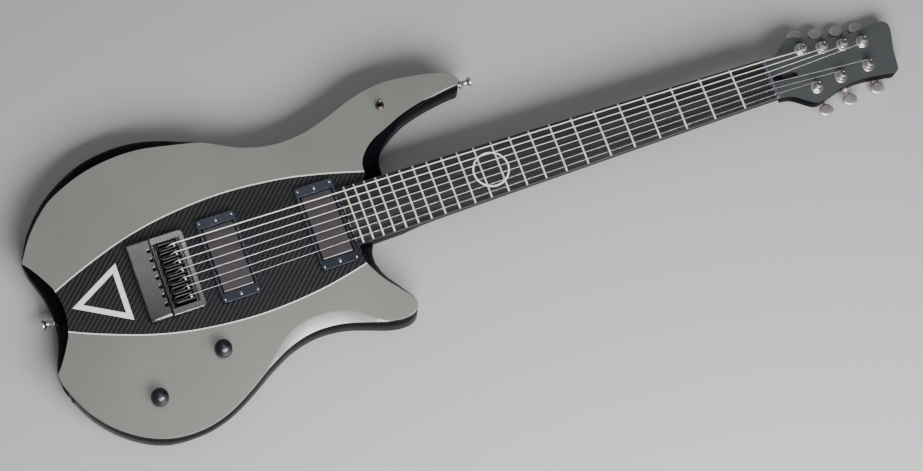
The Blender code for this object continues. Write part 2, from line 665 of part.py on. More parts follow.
def make_neck():
    rings = heel_rings(0)
    shaft = SCALE_LENGTH - HEEL_FRONT
    rings.append(neck_ring(HEEL_FRONT + 10 * MM, HEEL_DEPTH - 0.4 * MM, 5))
    rings.append(neck_ring(HEEL_FRONT + 22 * MM, NECK_DEPTH_AT_BODY + 0.4 * MM, 3.2))
    for share, power in ((0.09, 2.6), (0.3, 2.4), (0.6, 2.4), (0.88, 2.4), (0.97, 2.5)):
        depth = NECK_DEPTH_AT_BODY + (NECK_DEPTH_AT_NUT - NECK_DEPTH_AT_BODY) * share
        rings.append(neck_ring(HEEL_FRONT + shaft * share, depth, power))
    rings.append(neck_ring(NUT_BACK, NECK_DEPTH_AT_NUT, 2.8, half=NUT_WIDTH / 2))
    rings.append(head_ring(9 * MM, HEADSTOCK_THICKNESS, 4.5))
    rings.append(head_ring(20 * MM, HEADSTOCK_THICKNESS - 1 * MM, 6))
    neck = add("neck", loft_mesh("neck", rings), FINISHES["black_lacquer"])
    join(neck, plate_mesh("headstock", headstock_outline(), -HEADSTOCK_THICKNESS, 0), head_frame())
    channel = ROD_RADIUS + CLEARANCE
    low = (ROD_START - CLEARANCE, -channel, NECK_TOP - ROD_DROP - channel)
    cut(neck, box_mesh("rod_channel", low, (NUT_BACK + 3 * MM, channel, NECK_TOP + 5 * MM)))
    cut(neck, rod_slot(), head_frame())
    cut(neck, together("post_holes", [
        rod_mesh("hole", BUSHING_RADIUS + CLEARANCE, -2 * HEADSTOCK_THICKNESS, 10 * MM, 16,
                 matrix=Matrix.Translation((u * MM, v * MM, 0))) for u, v in BASS_POSTS + TREBLE_POSTS]),
        head_frame())
    smooth_round(neck, 30)


def make_truss_rod():
    height = NECK_TOP - ROD_DROP
    lie = Matrix.Rotation(pi / 2, 4, "Y")
    rod = add("truss_rod", rod_mesh("truss_rod", ROD_RADIUS, ROD_START, NUT_BACK + 6 * MM, 12,
                                    matrix=Matrix.Translation((0, 0, height)) @ lie), FINISHES["steel"])
    join(rod, rod_mesh("rod_nut", ROD_NUT_RADIUS, NUT_BACK + 5 * MM, NUT_BACK + 15 * MM, 6,
                       matrix=Matrix.Translation((0, 0, height)) @ lie))


def board_section(x):
    half = board_half_width(x)
    ring = [(x, -half, BOARD_BOTTOM), (x, half, BOARD_BOTTOM)]
    for k in range(5):
        y = half * (1 - k / 2)
        ring.append((x, y, BOARD_TOP + crown(y)))
    return ring


def fret_mesh(number):
    x = SCALE_LENGTH * 2 ** (-number / 12)
    half = board_half_width(x) - 0.5 * MM
    curve = bpy.data.curves.new("fret", "CURVE")
    curve.dimensions = "3D"
    curve.bevel_depth = FRET_HEIGHT + FRET_SINK
    curve.bevel_resolution = 1
    curve.use_fill_caps = True
    spline = curve.splines.new("POLY")
    spline.points.add(4)
    for k, point in enumerate(spline.points):
        y = half * (1 - k / 2)
        point.co = (x, y, BOARD_TOP + crown(y) - FRET_SINK, 1)
    return curve_to_mesh("fret", curve)


def make_fingerboard():
    board = add("fingerboard", loft_mesh("fingerboard", [board_section(BOARD_END),
                                                         board_section(SCALE_LENGTH - CLEARANCE)]),
                FINISHES["dark_wood"])
    join(board, together("frets", [fret_mesh(number) for number in range(1, FRET_COUNT + 1)]))
    smooth_round(board, 30)


def string_places():
    middle = (len(STRING_DIAMETERS) - 1) / 2
    return [(middle - k) for k in range(len(STRING_DIAMETERS))]


def nut_string_height(place, radius):
    return FRET_PLANE + crown(place * STRING_SPACING_AT_NUT) + STRING_HEIGHT_AT_NUT + radius


def saddle_string_height(place):
    return FRET_PLANE + crown(place * STRING_SPACING_AT_SADDLE) + STRING_HEIGHT_AT_SADDLE


def make_nut():
    half = NUT_WIDTH / 2
    top = FRET_PLANE + STRING_HEIGHT_AT_NUT + max(STRING_DIAMETERS) / 2
    outline = [(-half, BOARD_BOTTOM), (half, BOARD_BOTTOM)]
    outline += [(half * (1 - k / 3), top + crown(half * (1 - k / 3))) for k in range(7)]
    stand = Matrix.Rotation(pi / 2, 4, "Z") @ Matrix.Rotation(pi / 2, 4, "X")
    mesh = plate_mesh("nut", outline, SCALE_LENGTH, NUT_BACK)
    mesh.transform(stand)
    nut = add("nut", mesh, FINISHES["nut_graphite"])
    slots = []
    for place, diameter in zip(string_places(), STRING_DIAMETERS):
        y = place * STRING_SPACING_AT_NUT
        half_slot = diameter / 2 + CLEARANCE
        floor = nut_string_height(place, diameter / 2) - half_slot
        slots.append(box_mesh("slot", (SCALE_LENGTH - 5 * MM, y - half_slot, floor),
                              (NUT_BACK + 5 * MM, y + half_slot, top + 5 * MM)))
    cut(nut, together("slots", slots))


# The way of one string: from its anchor over the saddle and the nut, then down round its post.
def string_route(index):
    place = string_places()[index]
    radius = STRING_DIAMETERS[index] / 2
    saddle_y = place * STRING_SPACING_AT_SADDLE
    nut_y = place * STRING_SPACING_AT_NUT
    high = saddle_string_height(place)
    points = [Vector((-12 * MM, saddle_y, high - 6 * MM)), Vector((-8.5 * MM, saddle_y, high - 2.6 * MM)),
              Vector((-6 * MM, saddle_y, high - 0.3 * MM)), Vector((-4.5 * MM, saddle_y, high)),
              Vector((0, saddle_y, high)), Vector((SCALE_LENGTH, nut_y, nut_string_height(place, radius))),
              Vector((NUT_BACK, nut_y, nut_string_height(place, radius) - 0.15 * MM))]
    frame = head_frame()
    u, v = [value * MM for value in (BASS_POSTS + TREBLE_POSTS)[index]]
    side = -1 if index < len(BASS_POSTS) else 1
    turn_radius = POST_WAIST_RADIUS + CLEARANCE + radius
    start = frame.inverted() @ points[-1]
    away = Vector((u, v)) - Vector((start.x, start.y))
    lean = atan2(away.y, away.x) + side * -1 * (-turn_radius / away.length)
    first = lean + side * pi / 2
    spin = -side
    pitch = 2 * radius + GAP_IN_WINDING
    wrap_top = post_waist_top() - CLEARANCE - radius
    steps_per_turn = 12
    for k in range(round(TURNS_ON_POST[index] * steps_per_turn) + 1):
        a = first + spin * 2 * pi * k / steps_per_turn
        drop = pitch * k / steps_per_turn
        points.append(frame @ Vector((u + turn_radius * cos(a), v + turn_radius * sin(a), wrap_top - drop)))
    return points


def post_waist_top():
    return POST_HEIGHT - 2 * MM


def post_waist_bottom():
    return WASHER_THICKNESS + TUNER_NUT_THICKNESS + 2 * CLEARANCE + 0.6 * MM


# The smallest gap between turns of one winding.
def least_gap(points, radius):
    gaps = [(p - q).length - 2 * radius for i, p in enumerate(points) for q in points[i + 6:]]
    return min(gaps)


def make_strings():
    for index, diameter in enumerate(STRING_DIAMETERS):
        route = string_route(index)
        curve = bpy.data.curves.new("string", "CURVE")
        curve.dimensions = "3D"
        curve.bevel_depth = diameter / 2
        curve.bevel_resolution = 1
        curve.use_fill_caps = True
        spline = curve.splines.new("POLY")
        spline.points.add(len(route) - 1)
        for point, place in zip(spline.points, route):
            point.co = (*place, 1)
        name = "string_%d" % (index + 1)
        add(name, curve_to_mesh(name, curve), FINISHES["string_steel"])
        gap = least_gap(route[7:], diameter / 2)
        print("%s winding: least gap %.2f mm" % (name, gap / MM))


def hex_ring(radius, turn=0.0):
    return [(radius * cos(turn + pi * k / 3), radius * sin(turn + pi * k / 3)) for k in range(6)]


# One tuner: a case with its bushing and washer, a post that turns in it, and a button on a shaft.
def make_tuner(number, u, v, side):
    holder = bpy.data.objects.new("tuner_%d" % number, None)
    PIECES.objects.link(holder)
    holder.parent = HEAD
    holder.location = (u, v, 0)
    back = -HEADSTOCK_THICKNESS - CLEARANCE
    metal = FINISHES["tuner_nickel"]
    case_low = (-CASE_BEHIND_POST, -CASE_WIDTH / 2, back - CASE_DEPTH)
    case_high = (CASE_BEYOND_POST, CASE_WIDTH / 2, back)
    case = add("tuner_case_%d" % number, box_mesh("case", case_low, case_high), metal)
    case.parent = holder
    round_edges(case, 1.6 * MM, 1)
    washer_low = CLEARANCE
    washer_top = washer_low + WASHER_THICKNESS
    bore = POST_RADIUS + CLEARANCE
    case_matrix = head_frame() @ Matrix.Translation((u, v, 0))
    join(case, rod_mesh("bushing", BUSHING_RADIUS, back - 2 * MM, washer_low + 0.5 * MM, 16), case_matrix)
    join(case, rod_mesh("washer", WASHER_RADIUS, washer_low, washer_top, 20, WASHER_RADIUS - 0.6 * MM), case_matrix)
    join(case, plate_mesh("bushing_nut", hex_ring(TUNER_NUT_RADIUS), washer_top - 0.3 * MM,
                          washer_top + TUNER_NUT_THICKNESS), case_matrix)
    cut(case, rod_mesh("post_bore", bore, back - CASE_DEPTH + 2.5 * MM, 20 * MM, 12), case_matrix)
    worm = Matrix.Translation((WORM_OFFSET, 0, back - WORM_DROP)) @ Matrix.Rotation(-side * pi / 2, 4, "X")
    cut(case, rod_mesh("worm_bore", SHAFT_RADIUS + CLEARANCE, -CASE_WIDTH / 2 + 2 * MM, CASE_WIDTH, 10),
        case_matrix @ worm)
    low = back - CASE_DEPTH + 2.5 * MM + CLEARANCE
    flange = WASHER_THICKNESS + TUNER_NUT_THICKNESS + 2 * CLEARANCE
    waist_low, waist_top = post_waist_bottom(), post_waist_top()
    cap = POST_CAP_RADIUS
    profile = [(0, POST_HEIGHT), (cap - 1.4 * MM, POST_HEIGHT), (cap, POST_HEIGHT - 0.9 * MM), (cap, waist_top),
               (POST_WAIST_RADIUS, waist_top), (POST_WAIST_RADIUS, waist_low), (POST_FLANGE_RADIUS, waist_low),
               (POST_FLANGE_RADIUS, flange), (POST_RADIUS, flange), (POST_RADIUS, low), (0, low)]
    post = turned("tuner_post_%d" % number, profile, 12, metal)
    post.parent = holder
    button = add("tuner_button_%d" % number, plate_mesh("button", button_outline(), -BUTTON_THICKNESS / 2,
                                                        BUTTON_THICKNESS / 2), metal)
    button.parent = holder
    button.location = (WORM_OFFSET, 0, back - WORM_DROP)
    button.rotation_euler = (0, 0, 0 if side > 0 else pi)
    round_edges(button, 1.8 * MM, 1, 60)
    shaft_end = -CASE_WIDTH / 2 + 2 * MM + CLEARANCE
    shaft = case_matrix @ worm
    join(button, rod_mesh("shaft", SHAFT_RADIUS, shaft_end, BUTTON_REACH, 10), shaft)
    join(button, rod_mesh("collar", SHAFT_RADIUS, CASE_WIDTH / 2 + CLEARANCE, BUTTON_REACH - 4 * MM, 10, 3.4 * MM),
         shaft)


# A button seen from its flat side, wider at its outer end, with its shaft along +Y.
def button_outline():
    points = []
    for x, y in oval((0, 0), (BUTTON_WIDTH / 2, BUTTON_LENGTH / 2), 16, 2.3):
        flare = 1 + 0.10 * y / BUTTON_LENGTH
        points.append((x * flare, y + BUTTON_REACH))
    return points


def make_bridge():
    half = BRIDGE_WIDTH / 2
    top = BODY_THICKNESS + FRAME_HEIGHT
    plan = soft_rectangle((FRAME_BACK + CLEARANCE, -half), (BRIDGE_FRONT, half), FRAME_CORNER, True)
    frame = add("bridge_frame", plate_mesh("bridge_frame", plan, FACE_GAP, top), FINISHES["pewter"])
    round_edges(frame, 1.0 * MM, 1, 60)
    join(frame, pan_space("pan", 0.0, FACE_GAP + 1 * MM))
    window = (WINDOW_WIDTH / 2)
    cut(frame, box_mesh("window", (WINDOW_BACK, -window, PAN_FLOOR + PAN_WALL), (WINDOW_FRONT, window, top + 5 * MM)))
    block = add("bridge_tail_block", box_mesh("bridge_tail_block", (BLOCK_BACK, -half, FACE_GAP),
                                              (FRAME_BACK, half, BODY_THICKNESS + BLOCK_HEIGHT)),
                FINISHES["pewter"])
    round_edges(block, 1.6 * MM, 2)
    high = BODY_THICKNESS + BLOCK_HEIGHT
    cut(block, together("screw_recesses", [
        rod_mesh("recess", 2.3 * MM, high - 2 * MM, high + 5 * MM, 10,
                 matrix=Matrix.Translation((SCREW_LINE, place * SCREW_PITCH, 0))) for place in string_places()]))


# The space of the bridge's sunken pan, grown by a clearance and open upwards.
def pan_space(name, grow, top=None):
    side = WINDOW_WIDTH / 2 + PAN_WALL + grow
    low = (WINDOW_BACK - PAN_WALL - grow, -side, PAN_FLOOR - grow)
    return box_mesh(name, low, (WINDOW_FRONT + PAN_WALL + grow, side, top or BODY_THICKNESS + 10 * MM))


# A saddle's plan: straight sides and a round back end.
def saddle_plan(half, back, front):
    tip = [(back + half - half * sin(pi * k / 6), -half * cos(pi * k / 6)) for k in range(7)]
    return [(front, -half)] + tip + [(front, half)]


def make_saddles():
    for index, place in enumerate(string_places()):
        y = place * STRING_SPACING_AT_SADDLE
        radius = STRING_DIAMETERS[index] / 2
        cheek = BODY_THICKNESS + FRAME_HEIGHT + SADDLE_RISE + crown(y)
        name = "saddle_%d" % (index + 1)
        half = SADDLE_WIDTH / 2
        saddle = add(name, plate_mesh(name, saddle_plan(half, SADDLE_BACK, SADDLE_FRONT), SADDLE_BOTTOM, cheek),
                     FINISHES["black_steel"])
        saddle.location = (0, y, 0)
        inner = half - SADDLE_WALL
        floor = cheek - SADDLE_CHANNEL_DEPTH
        here = Matrix.Translation((0, y, 0))
        cut(saddle, plate_mesh("channel", saddle_plan(inner, SADDLE_BACK + SADDLE_WALL, SADDLE_FRONT + 5 * MM),
                               floor, cheek + 5 * MM), here)
        seat = saddle_string_height(place) - radius - CLEARANCE
        join(saddle, box_mesh("seat", (-1.6 * MM, -half + 0.6 * MM, floor - 1 * MM), (0.4 * MM, half - 0.6 * MM, seat)),
             here)


# The hollow of a pickup: its cover's box and the space of its ears, both open upwards.
def cut_pickup_hollow(piece, x, floor):
    spaces = [(PICKUP_WIDTH / 2, PICKUP_LENGTH / 2), (EAR_WIDTH / 2, HEIGHT_SCREW_REACH + EAR_OVERHANG)]
    for half_x, half_y in spaces:
        low = (x - half_x - PICKUP_GAP, -half_y - PICKUP_GAP, floor)
        high = (x + half_x + PICKUP_GAP, half_y + PICKUP_GAP, BODY_THICKNESS + 10 * MM)
        cut(piece, box_mesh("hollow", low, high))


def make_pickup(kind, x):
    ring_top = BODY_THICKNESS + RING_HEIGHT
    half = (RING_WIDTH / 2, RING_LENGTH / 2)
    plan = soft_rectangle((x - half[0], -half[1]), (x + half[0], half[1]), RING_CORNER)
    ring = add(kind + "_pickup_ring", plate_mesh("ring", plan, FACE_GAP, ring_top), FINISHES["gunmetal"])
    round_edges(ring, 0.9 * MM, 1, 60)
    opening = (PICKUP_WIDTH / 2 + PICKUP_GAP, PICKUP_LENGTH / 2 + PICKUP_GAP)
    cut(ring, box_mesh("window", (x - opening[0], -opening[1], 0), (x + opening[0], opening[1], 2 * ring_top)))
    base = PICKUP_TOP - PICKUP_HEIGHT
    for side in (-1, 1):
        spot = Matrix.Translation((x, side * HEIGHT_SCREW_REACH, 0))
        join(ring, rod_mesh("height_screw", HEIGHT_SCREW_RADIUS, base - PICKUP_TRAVEL_DOWN + CLEARANCE,
                            ring_top, 8, matrix=spot))
        join(ring, rod_mesh("screw_head", 2.6 * MM, ring_top - 0.5 * MM, ring_top + 1.2 * MM, 12, 2.2 * MM,
                            matrix=spot))
    half_x, half_y = PICKUP_WIDTH / 2, PICKUP_LENGTH / 2
    pickup = add(kind + "_pickup", box_mesh("pickup", (x - half_x, -half_y, base), (x + half_x, half_y, PICKUP_TOP)),
                 FINISHES["brushed_nickel"])
    round_edges(pickup, 1.2 * MM, 2)
    reach = HEIGHT_SCREW_REACH + EAR_OVERHANG
    join(pickup, box_mesh("ears", (x - EAR_WIDTH / 2, -reach, base + 2 * MM),
                          (x + EAR_WIDTH / 2, reach, base + 2 * MM + EAR_THICKNESS)))
    cut(pickup, together("screw_holes", [
        rod_mesh("hole", HEIGHT_SCREW_RADIUS + 0.4 * MM, base - 5 * MM, base + 10 * MM, 8,
                 matrix=Matrix.Translation((x, side * HEIGHT_SCREW_REACH, 0))) for side in (-1, 1)]))


def make_knobs():
    for name, place in KNOB_PLACES.items():
        r, h, shaft = KNOB_RADIUS, KNOB_HEIGHT, KNOB_SHAFT_RADIUS
        dome = [(r * sin(radians(a)) * 0.98, h * (0.45 + 0.55 * cos(radians(a)))) for a in range(0, 91, 15)]
        profile = dome + [(r, h * 0.1), (r - 0.5 * MM, 0), (shaft, 0), (shaft, -KNOB_SHAFT_DEPTH),
                          (0, -KNOB_SHAFT_DEPTH)]
        knob = turned(name, profile, 24, FINISHES["dark_gunmetal"])
        knob.location = (*place, FACE_GAP)


def make_switch():
    nut, thread, bore = SWITCH_NUT_RADIUS, SWITCH_THREAD_RADIUS, SWITCH_BORE_RADIUS
    profile = [(bore, SWITCH_NUT_HEIGHT), (nut - 0.6 * MM, SWITCH_NUT_HEIGHT), (nut, SWITCH_NUT_HEIGHT - 0.6 * MM),
               (nut, 0), (thread, 0), (thread, -SWITCH_DEPTH), (bore, -SWITCH_DEPTH)]
    bushing = turned("switch_bushing", profile, 16, FINISHES["bronze_black"], closed=True)
    bushing.location = (*SWITCH_PLACE, FACE_GAP)
    ball, stem, tip = bore - 0.35 * MM, 1.2 * MM, 2.1 * MM
    top = SWITCH_LEVER_HEIGHT + SWITCH_PIVOT_DROP
    profile = [(0, top), (tip * 0.7, top - 0.5 * MM), (tip, top - 2 * MM), (tip * 0.9, top - 4.5 * MM),
               (stem, top - 9 * MM), (stem, ball * 0.8), (ball * 0.85, ball * 0.5), (ball, 0),
               (ball * 0.8, -ball * 0.6), (0, -ball)]
    lever = turned("switch_lever", profile, 12, FINISHES["bronze_black"])
    lever.location = (*SWITCH_PLACE, FACE_GAP - SWITCH_PIVOT_DROP)


def make_jack():
    flange, barrel, bore = JACK_FLANGE_RADIUS, JACK_BARREL_RADIUS, JACK_BORE_RADIUS
    face = CLEARANCE + JACK_FLANGE_THICKNESS
    profile = [(bore, face), (flange - 0.8 * MM, face), (flange, face - 0.8 * MM), (flange, CLEARANCE),
               (barrel, CLEARANCE), (barrel, -JACK_BARREL_LENGTH), (0, -JACK_BARREL_LENGTH)]
    solid = [(0, face)] + profile[1:]
    jack = turned("output_jack", solid, 20, FINISHES["chrome"])
    jack.matrix_world = jack_frame()
    cut(jack, rod_mesh("jack_bore", bore, face - JACK_BORE_DEPTH, face + 5 * MM, 16), jack_frame())


def make_strap_button(name, frame):
    flange, waist, length, screw = STRAP_FLANGE_RADIUS, STRAP_WAIST_RADIUS, STRAP_LENGTH, STRAP_SCREW_RADIUS
    profile = [(0, length), (flange - 0.8 * MM, length), (flange, length - 1.0 * MM), (flange, length - 2.6 * MM),
               (waist + 0.7 * MM, length - 4.6 * MM), (waist, length * 0.45), (waist + 0.8 * MM, 3 * MM),
               (flange * 0.92, 1.2 * MM), (flange * 0.92, 0), (screw, 0), (screw, -STRAP_SCREW_LENGTH),
               (0, -STRAP_SCREW_LENGTH)]
    button = turned(name, profile, 16, FINISHES["chrome"])
    button.matrix_world = frame


def make_cover():
    add("control_cavity_cover", plate_mesh("control_cavity_cover", control_cover_outline(0), 0.0, COVER_THICKNESS),
        FINISHES["matte_black"])


clear_scene()
PIECES = collection("electric_guitar")
CUTTERS = collection("cutters")
FINISHES = {
    "black_lacquer": finish("black_lacquer", (0.006, 0.006, 0.007), 0.0, 0.18),
    "metallic_green_grey": finish("metallic_green_grey", (0.27, 0.28, 0.26), 0.7, 0.38),
    "carbon_twill": finish("carbon_twill", (0.03, 0.03, 0.033), 0.2, 0.35),
    "cream_plastic": finish("cream_plastic", (0.72, 0.70, 0.62), 0.0, 0.4),
    "white_inlay": finish("white_inlay", (0.80, 0.79, 0.78), 0.0, 0.4),
    "dark_wood": finish("dark_wood", (0.05, 0.035, 0.028), 0.0, 0.55),
    "nut_graphite": finish("nut_graphite", (0.10, 0.11, 0.15), 0.0, 0.5),
    "steel": finish("steel", (0.55, 0.55, 0.55), 1.0, 0.35),
    "string_steel": finish("string_steel", (0.75, 0.74, 0.72), 1.0, 0.3),
    "tuner_nickel": finish("tuner_nickel", (0.62, 0.57, 0.55), 1.0, 0.4),
    "pewter": finish("pewter", (0.36, 0.36, 0.37), 0.9, 0.42),
    "black_steel": finish("black_steel", (0.02, 0.02, 0.022), 0.6, 0.4),
    "gunmetal": finish("gunmetal", (0.20, 0.22, 0.27), 0.8, 0.42),
    "brushed_nickel": finish("brushed_nickel", (0.30, 0.28, 0.28), 0.9, 0.45),
    "dark_gunmetal": finish("dark_gunmetal", (0.05, 0.05, 0.06), 0.9, 0.25),
    "bronze_black": finish("bronze_black", (0.10, 0.07, 0.05), 0.9, 0.35),
    "chrome": finish("chrome", (0.80, 0.80, 0.80), 1.0, 0.12),
    "matte_black": finish("matte_black", (0.02, 0.02, 0.02), 0.0, 0.6),
}
HEAD = bpy.data.objects.new("headstock_frame", None)
PIECES.objects.link(HEAD)
HEAD.matrix_world = head_frame()

outline = body_outline()
make_body(outline)
make_tops(outline)
make_triangle_inlay()
make_neck()
make_truss_rod()
make_fingerboard()
make_nut()
make_strings()
for number, (post_u, post_v) in enumerate(BASS_POSTS + TREBLE_POSTS, 1):
    make_tuner(number, post_u * MM, post_v * MM, 1 if number <= len(BASS_POSTS) else -1)
make_bridge()
make_saddles()
make_pickup("neck", NECK_PICKUP_X)
make_pickup("bridge", BRIDGE_PICKUP_X)
make_knobs()
make_switch()
make_jack()
make_strap_button("tail_strap_button", tail_strap_frame())
make_strap_button("horn_strap_button", horn_strap_frame())
make_cover()
bpy.context.view_layer.update()
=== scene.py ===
import bpy
import bmesh
from math import atan2, cos, degrees, pi, radians, sin
from mathutils.kdtree import KDTree
from mathutils import Matrix, Vector


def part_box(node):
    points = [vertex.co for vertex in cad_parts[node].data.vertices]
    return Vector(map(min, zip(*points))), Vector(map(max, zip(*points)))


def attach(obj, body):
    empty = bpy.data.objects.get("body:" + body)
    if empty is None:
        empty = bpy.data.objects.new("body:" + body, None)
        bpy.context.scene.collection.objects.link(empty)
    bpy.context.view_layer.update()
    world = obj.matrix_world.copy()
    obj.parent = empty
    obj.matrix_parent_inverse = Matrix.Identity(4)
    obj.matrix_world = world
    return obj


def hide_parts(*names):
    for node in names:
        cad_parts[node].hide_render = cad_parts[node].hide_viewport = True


mm = 0.001
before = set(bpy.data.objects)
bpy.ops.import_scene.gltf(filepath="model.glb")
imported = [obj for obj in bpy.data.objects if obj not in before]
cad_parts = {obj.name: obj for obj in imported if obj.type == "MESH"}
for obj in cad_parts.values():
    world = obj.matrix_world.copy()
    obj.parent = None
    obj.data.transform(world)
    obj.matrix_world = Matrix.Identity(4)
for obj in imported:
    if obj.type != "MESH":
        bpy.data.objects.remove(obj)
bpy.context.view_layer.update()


def at(x, y, z):
    return Matrix.Translation((x, y, z))


def turned(angle, axis):
    return Matrix.Rotation(angle, 4, axis)


def newObject(name, data):
    made = bpy.data.objects.new(name, data)
    bpy.context.scene.collection.objects.link(made)
    return made


def toMesh(shape, name):
    mesh = bpy.data.meshes.new(name)
    shape.to_mesh(mesh)
    shape.free()
    return mesh


# Doubles faces into a closed shell without depth and gives back the new corners, to be moved
def pullOut(shape, faces):
    made = bmesh.ops.extrude_face_region(shape, geom=faces)["geom"]
    return [item for item in made if isinstance(item, bmesh.types.BMVert)]


# The headstock's own frame: u along its face, v to the bass side, w out of the face
headPlan = {"root": (689.0 * mm, 0, 43.0 * mm), "tilt": radians(8.6), "thickness": 13.0 * mm,
            "bassPosts": [(48.7, 25.7), (74.1, 21.5), (99.3, 18.3), (123.9, 15.6)],
            "treblePosts": [(118.8, -13.5), (81.5, -18.1), (48.9, -22.8)]}
headFrame = at(*headPlan["root"]) @ turned(headPlan["tilt"], "Y")
scaleLength = 685.8 * mm
fretPlane = 51.0 * mm
bodyTop = 42.0 * mm
boardRadius = 406.0 * mm


def makeNode(tree, kind, inputs=None, **settings):
    item = tree.nodes.new(kind)
    for key, value in settings.items():
        setattr(item, key, value)
    for key, value in (inputs or {}).items():
        if isinstance(value, bpy.types.NodeSocket):
            tree.links.new(value, item.inputs[key])
        else:
            item.inputs[key].default_value = value
    return item


def calc(tree, operation, a, b=0.0):
    return makeNode(tree, "ShaderNodeMath", {0: a, 1: b}, operation=operation).outputs[0]


def blendColors(tree, factor, a, b):
    return makeNode(tree, "ShaderNodeMix", {0: factor, 6: a, 7: b}, data_type="RGBA").outputs[2]


def spread(tree, value, low, high):
    return makeNode(tree, "ShaderNodeMapRange", {"Value": value, "To Min": low, "To Max": high}).outputs[0]


def noise(tree, vector, scale, detail=3.0, roughness=0.5):
    inputs = {"Vector": vector, "Scale": scale, "Detail": detail, "Roughness": roughness}
    return makeNode(tree, "ShaderNodeTexNoise", inputs).outputs[0]


def bumped(tree, height, strength, distance=0.2 * mm):
    inputs = {"Height": height, "Strength": strength, "Distance": distance}
    return makeNode(tree, "ShaderNodeBump", inputs).outputs[0]


def placed(tree):
    return makeNode(tree, "ShaderNodeTexCoord").outputs["Object"]


def group(name, inputs, outputs, build):
    tree = bpy.data.node_groups.new(name, "ShaderNodeTree")
    for label, kind, value in inputs:
        socket = tree.interface.new_socket(name=label, in_out="INPUT", socket_type=kind)
        if value is not None:
            socket.default_value = value
    for label, kind in outputs:
        tree.interface.new_socket(name=label, in_out="OUTPUT", socket_type=kind)
    start, end = tree.nodes.new("NodeGroupInput"), tree.nodes.new("NodeGroupOutput")
    for label, result in build(tree, start.outputs).items():
        tree.links.new(result, end.inputs[label])
    return tree


# Soft patches, such as handling marks and haze, as a value between Low and High
def buildPatches(tree, given):
    large = noise(tree, given["Vector"], given["Scale"], detail=4.0, roughness=0.6)
    small = noise(tree, given["Vector"], calc(tree, "MULTIPLY", given["Scale"], 7.0), detail=2.0)
    both = calc(tree, "ADD", calc(tree, "MULTIPLY", large, 0.7), calc(tree, "MULTIPLY", small, 0.3))
    item = makeNode(tree, "ShaderNodeMapRange", {"Value": both, "From Min": 0.3, "From Max": 0.7,
                                                 "To Min": given["Low"], "To Max": given["High"]})
    return {"Value": item.outputs[0]}


# Fine lines along one direction, as on brushed metal or wood grain
def buildStreaks(tree, given):
    stretch = makeNode(tree, "ShaderNodeVectorMath", {0: given["Vector"], 1: given["Stretch"]},
                       operation="MULTIPLY").outputs[0]
    fine = noise(tree, stretch, scale=1.0, detail=4.0, roughness=0.65)
    return {"Value": fine, "Normal": bumped(tree, fine, given["Strength"])}


# A fine pebbled surface, such as orange peel in lacquer or bead-blasted metal
def buildPebble(tree, given):
    grain = noise(tree, given["Vector"], given["Scale"], detail=3.0, roughness=0.6)
    return {"Value": grain, "Normal": bumped(tree, grain, given["Strength"])}


patches = group("patches", [("Vector", "NodeSocketVector", None), ("Scale", "NodeSocketFloat", 12.0),
                            ("Low", "NodeSocketFloat", 0.2), ("High", "NodeSocketFloat", 0.4)],
                [("Value", "NodeSocketFloat")], buildPatches)
streaks = group("streaks", [("Vector", "NodeSocketVector", None), ("Stretch", "NodeSocketVector", (1, 1, 1)),
                            ("Strength", "NodeSocketFloat", 0.2)],
                [("Value", "NodeSocketFloat"), ("Normal", "NodeSocketVector")], buildStreaks)
pebble = group("pebble", [("Vector", "NodeSocketVector", None), ("Scale", "NodeSocketFloat", 900.0),
                          ("Strength", "NodeSocketFloat", 0.1)],
               [("Value", "NodeSocketFloat"), ("Normal", "NodeSocketVector")], buildPebble)


def use(tree, effect, **inputs):
    return makeNode(tree, "ShaderNodeGroup", inputs, node_tree=effect).outputs


def hazed(tree, place, scale, roughness):
    low, high = roughness
    return use(tree, patches, Vector=place, Scale=scale, Low=low, High=high)["Value"]


def newMaterial(name, color, metallic=0.0, roughness=0.4, **sockets):
    material = bpy.data.materials.new(name)
    material.use_nodes = True
    tree = material.node_tree
    shader = tree.nodes["Principled BSDF"]
    shader.inputs["Base Color"].default_value = (*color, 1.0)
    shader.inputs["Metallic"].default_value = metallic
    shader.inputs["Roughness"].default_value = roughness
    for key, value in sockets.items():
        shader.inputs[key.replace("_", " ")].default_value = value
    return material, tree, shader


def feed(tree, shader, **results):
    for key, result in results.items():
        tree.links.new(result, shader.inputs[key.replace("_", " ")])


def blackLacquer():
    look = {"color": (0.0028, 0.0028, 0.0045), "roughness": (0.18, 0.28), "shine": 0.02, "peel": 0.05}
    material, tree, shader = newMaterial("blackLacquer", look["color"], 0.0, 0.15, Specular_IOR_Level=look["shine"])
    place = placed(tree)
    haze = hazed(tree, place, 14.0, look["roughness"])
    peel = use(tree, pebble, Vector=place, Scale=260.0, Strength=look["peel"])
    feed(tree, shader, Roughness=haze, Normal=peel["Normal"])
    return material


def metallicLacquer(name, dark, light, metallic):
    look = {"roughness": (0.31, 0.38), "flake": 2600.0, "flakeBump": 0.10, "cloud": 9.0, "flakeShare": 0.6}
    material, tree, shader = newMaterial(name, light, metallic, 0.4, Coat_Weight=0.25, Coat_Roughness=0.32)
    place = placed(tree)
    flake = noise(tree, place, look["flake"], detail=2.0, roughness=0.7)
    cloud = noise(tree, place, look["cloud"])
    tone = calc(tree, "ADD", calc(tree, "MULTIPLY", flake, look["flakeShare"]),
                calc(tree, "MULTIPLY", cloud, 1 - look["flakeShare"]))
    color = blendColors(tree, spread(tree, tone, -0.4, 1.4), (*dark, 1), (*light, 1))
    satin = hazed(tree, place, 10.0, look["roughness"])
    grain = use(tree, pebble, Vector=place, Scale=look["flake"], Strength=look["flakeBump"])
    feed(tree, shader, Base_Color=color, Roughness=satin, Normal=grain["Normal"])
    return material


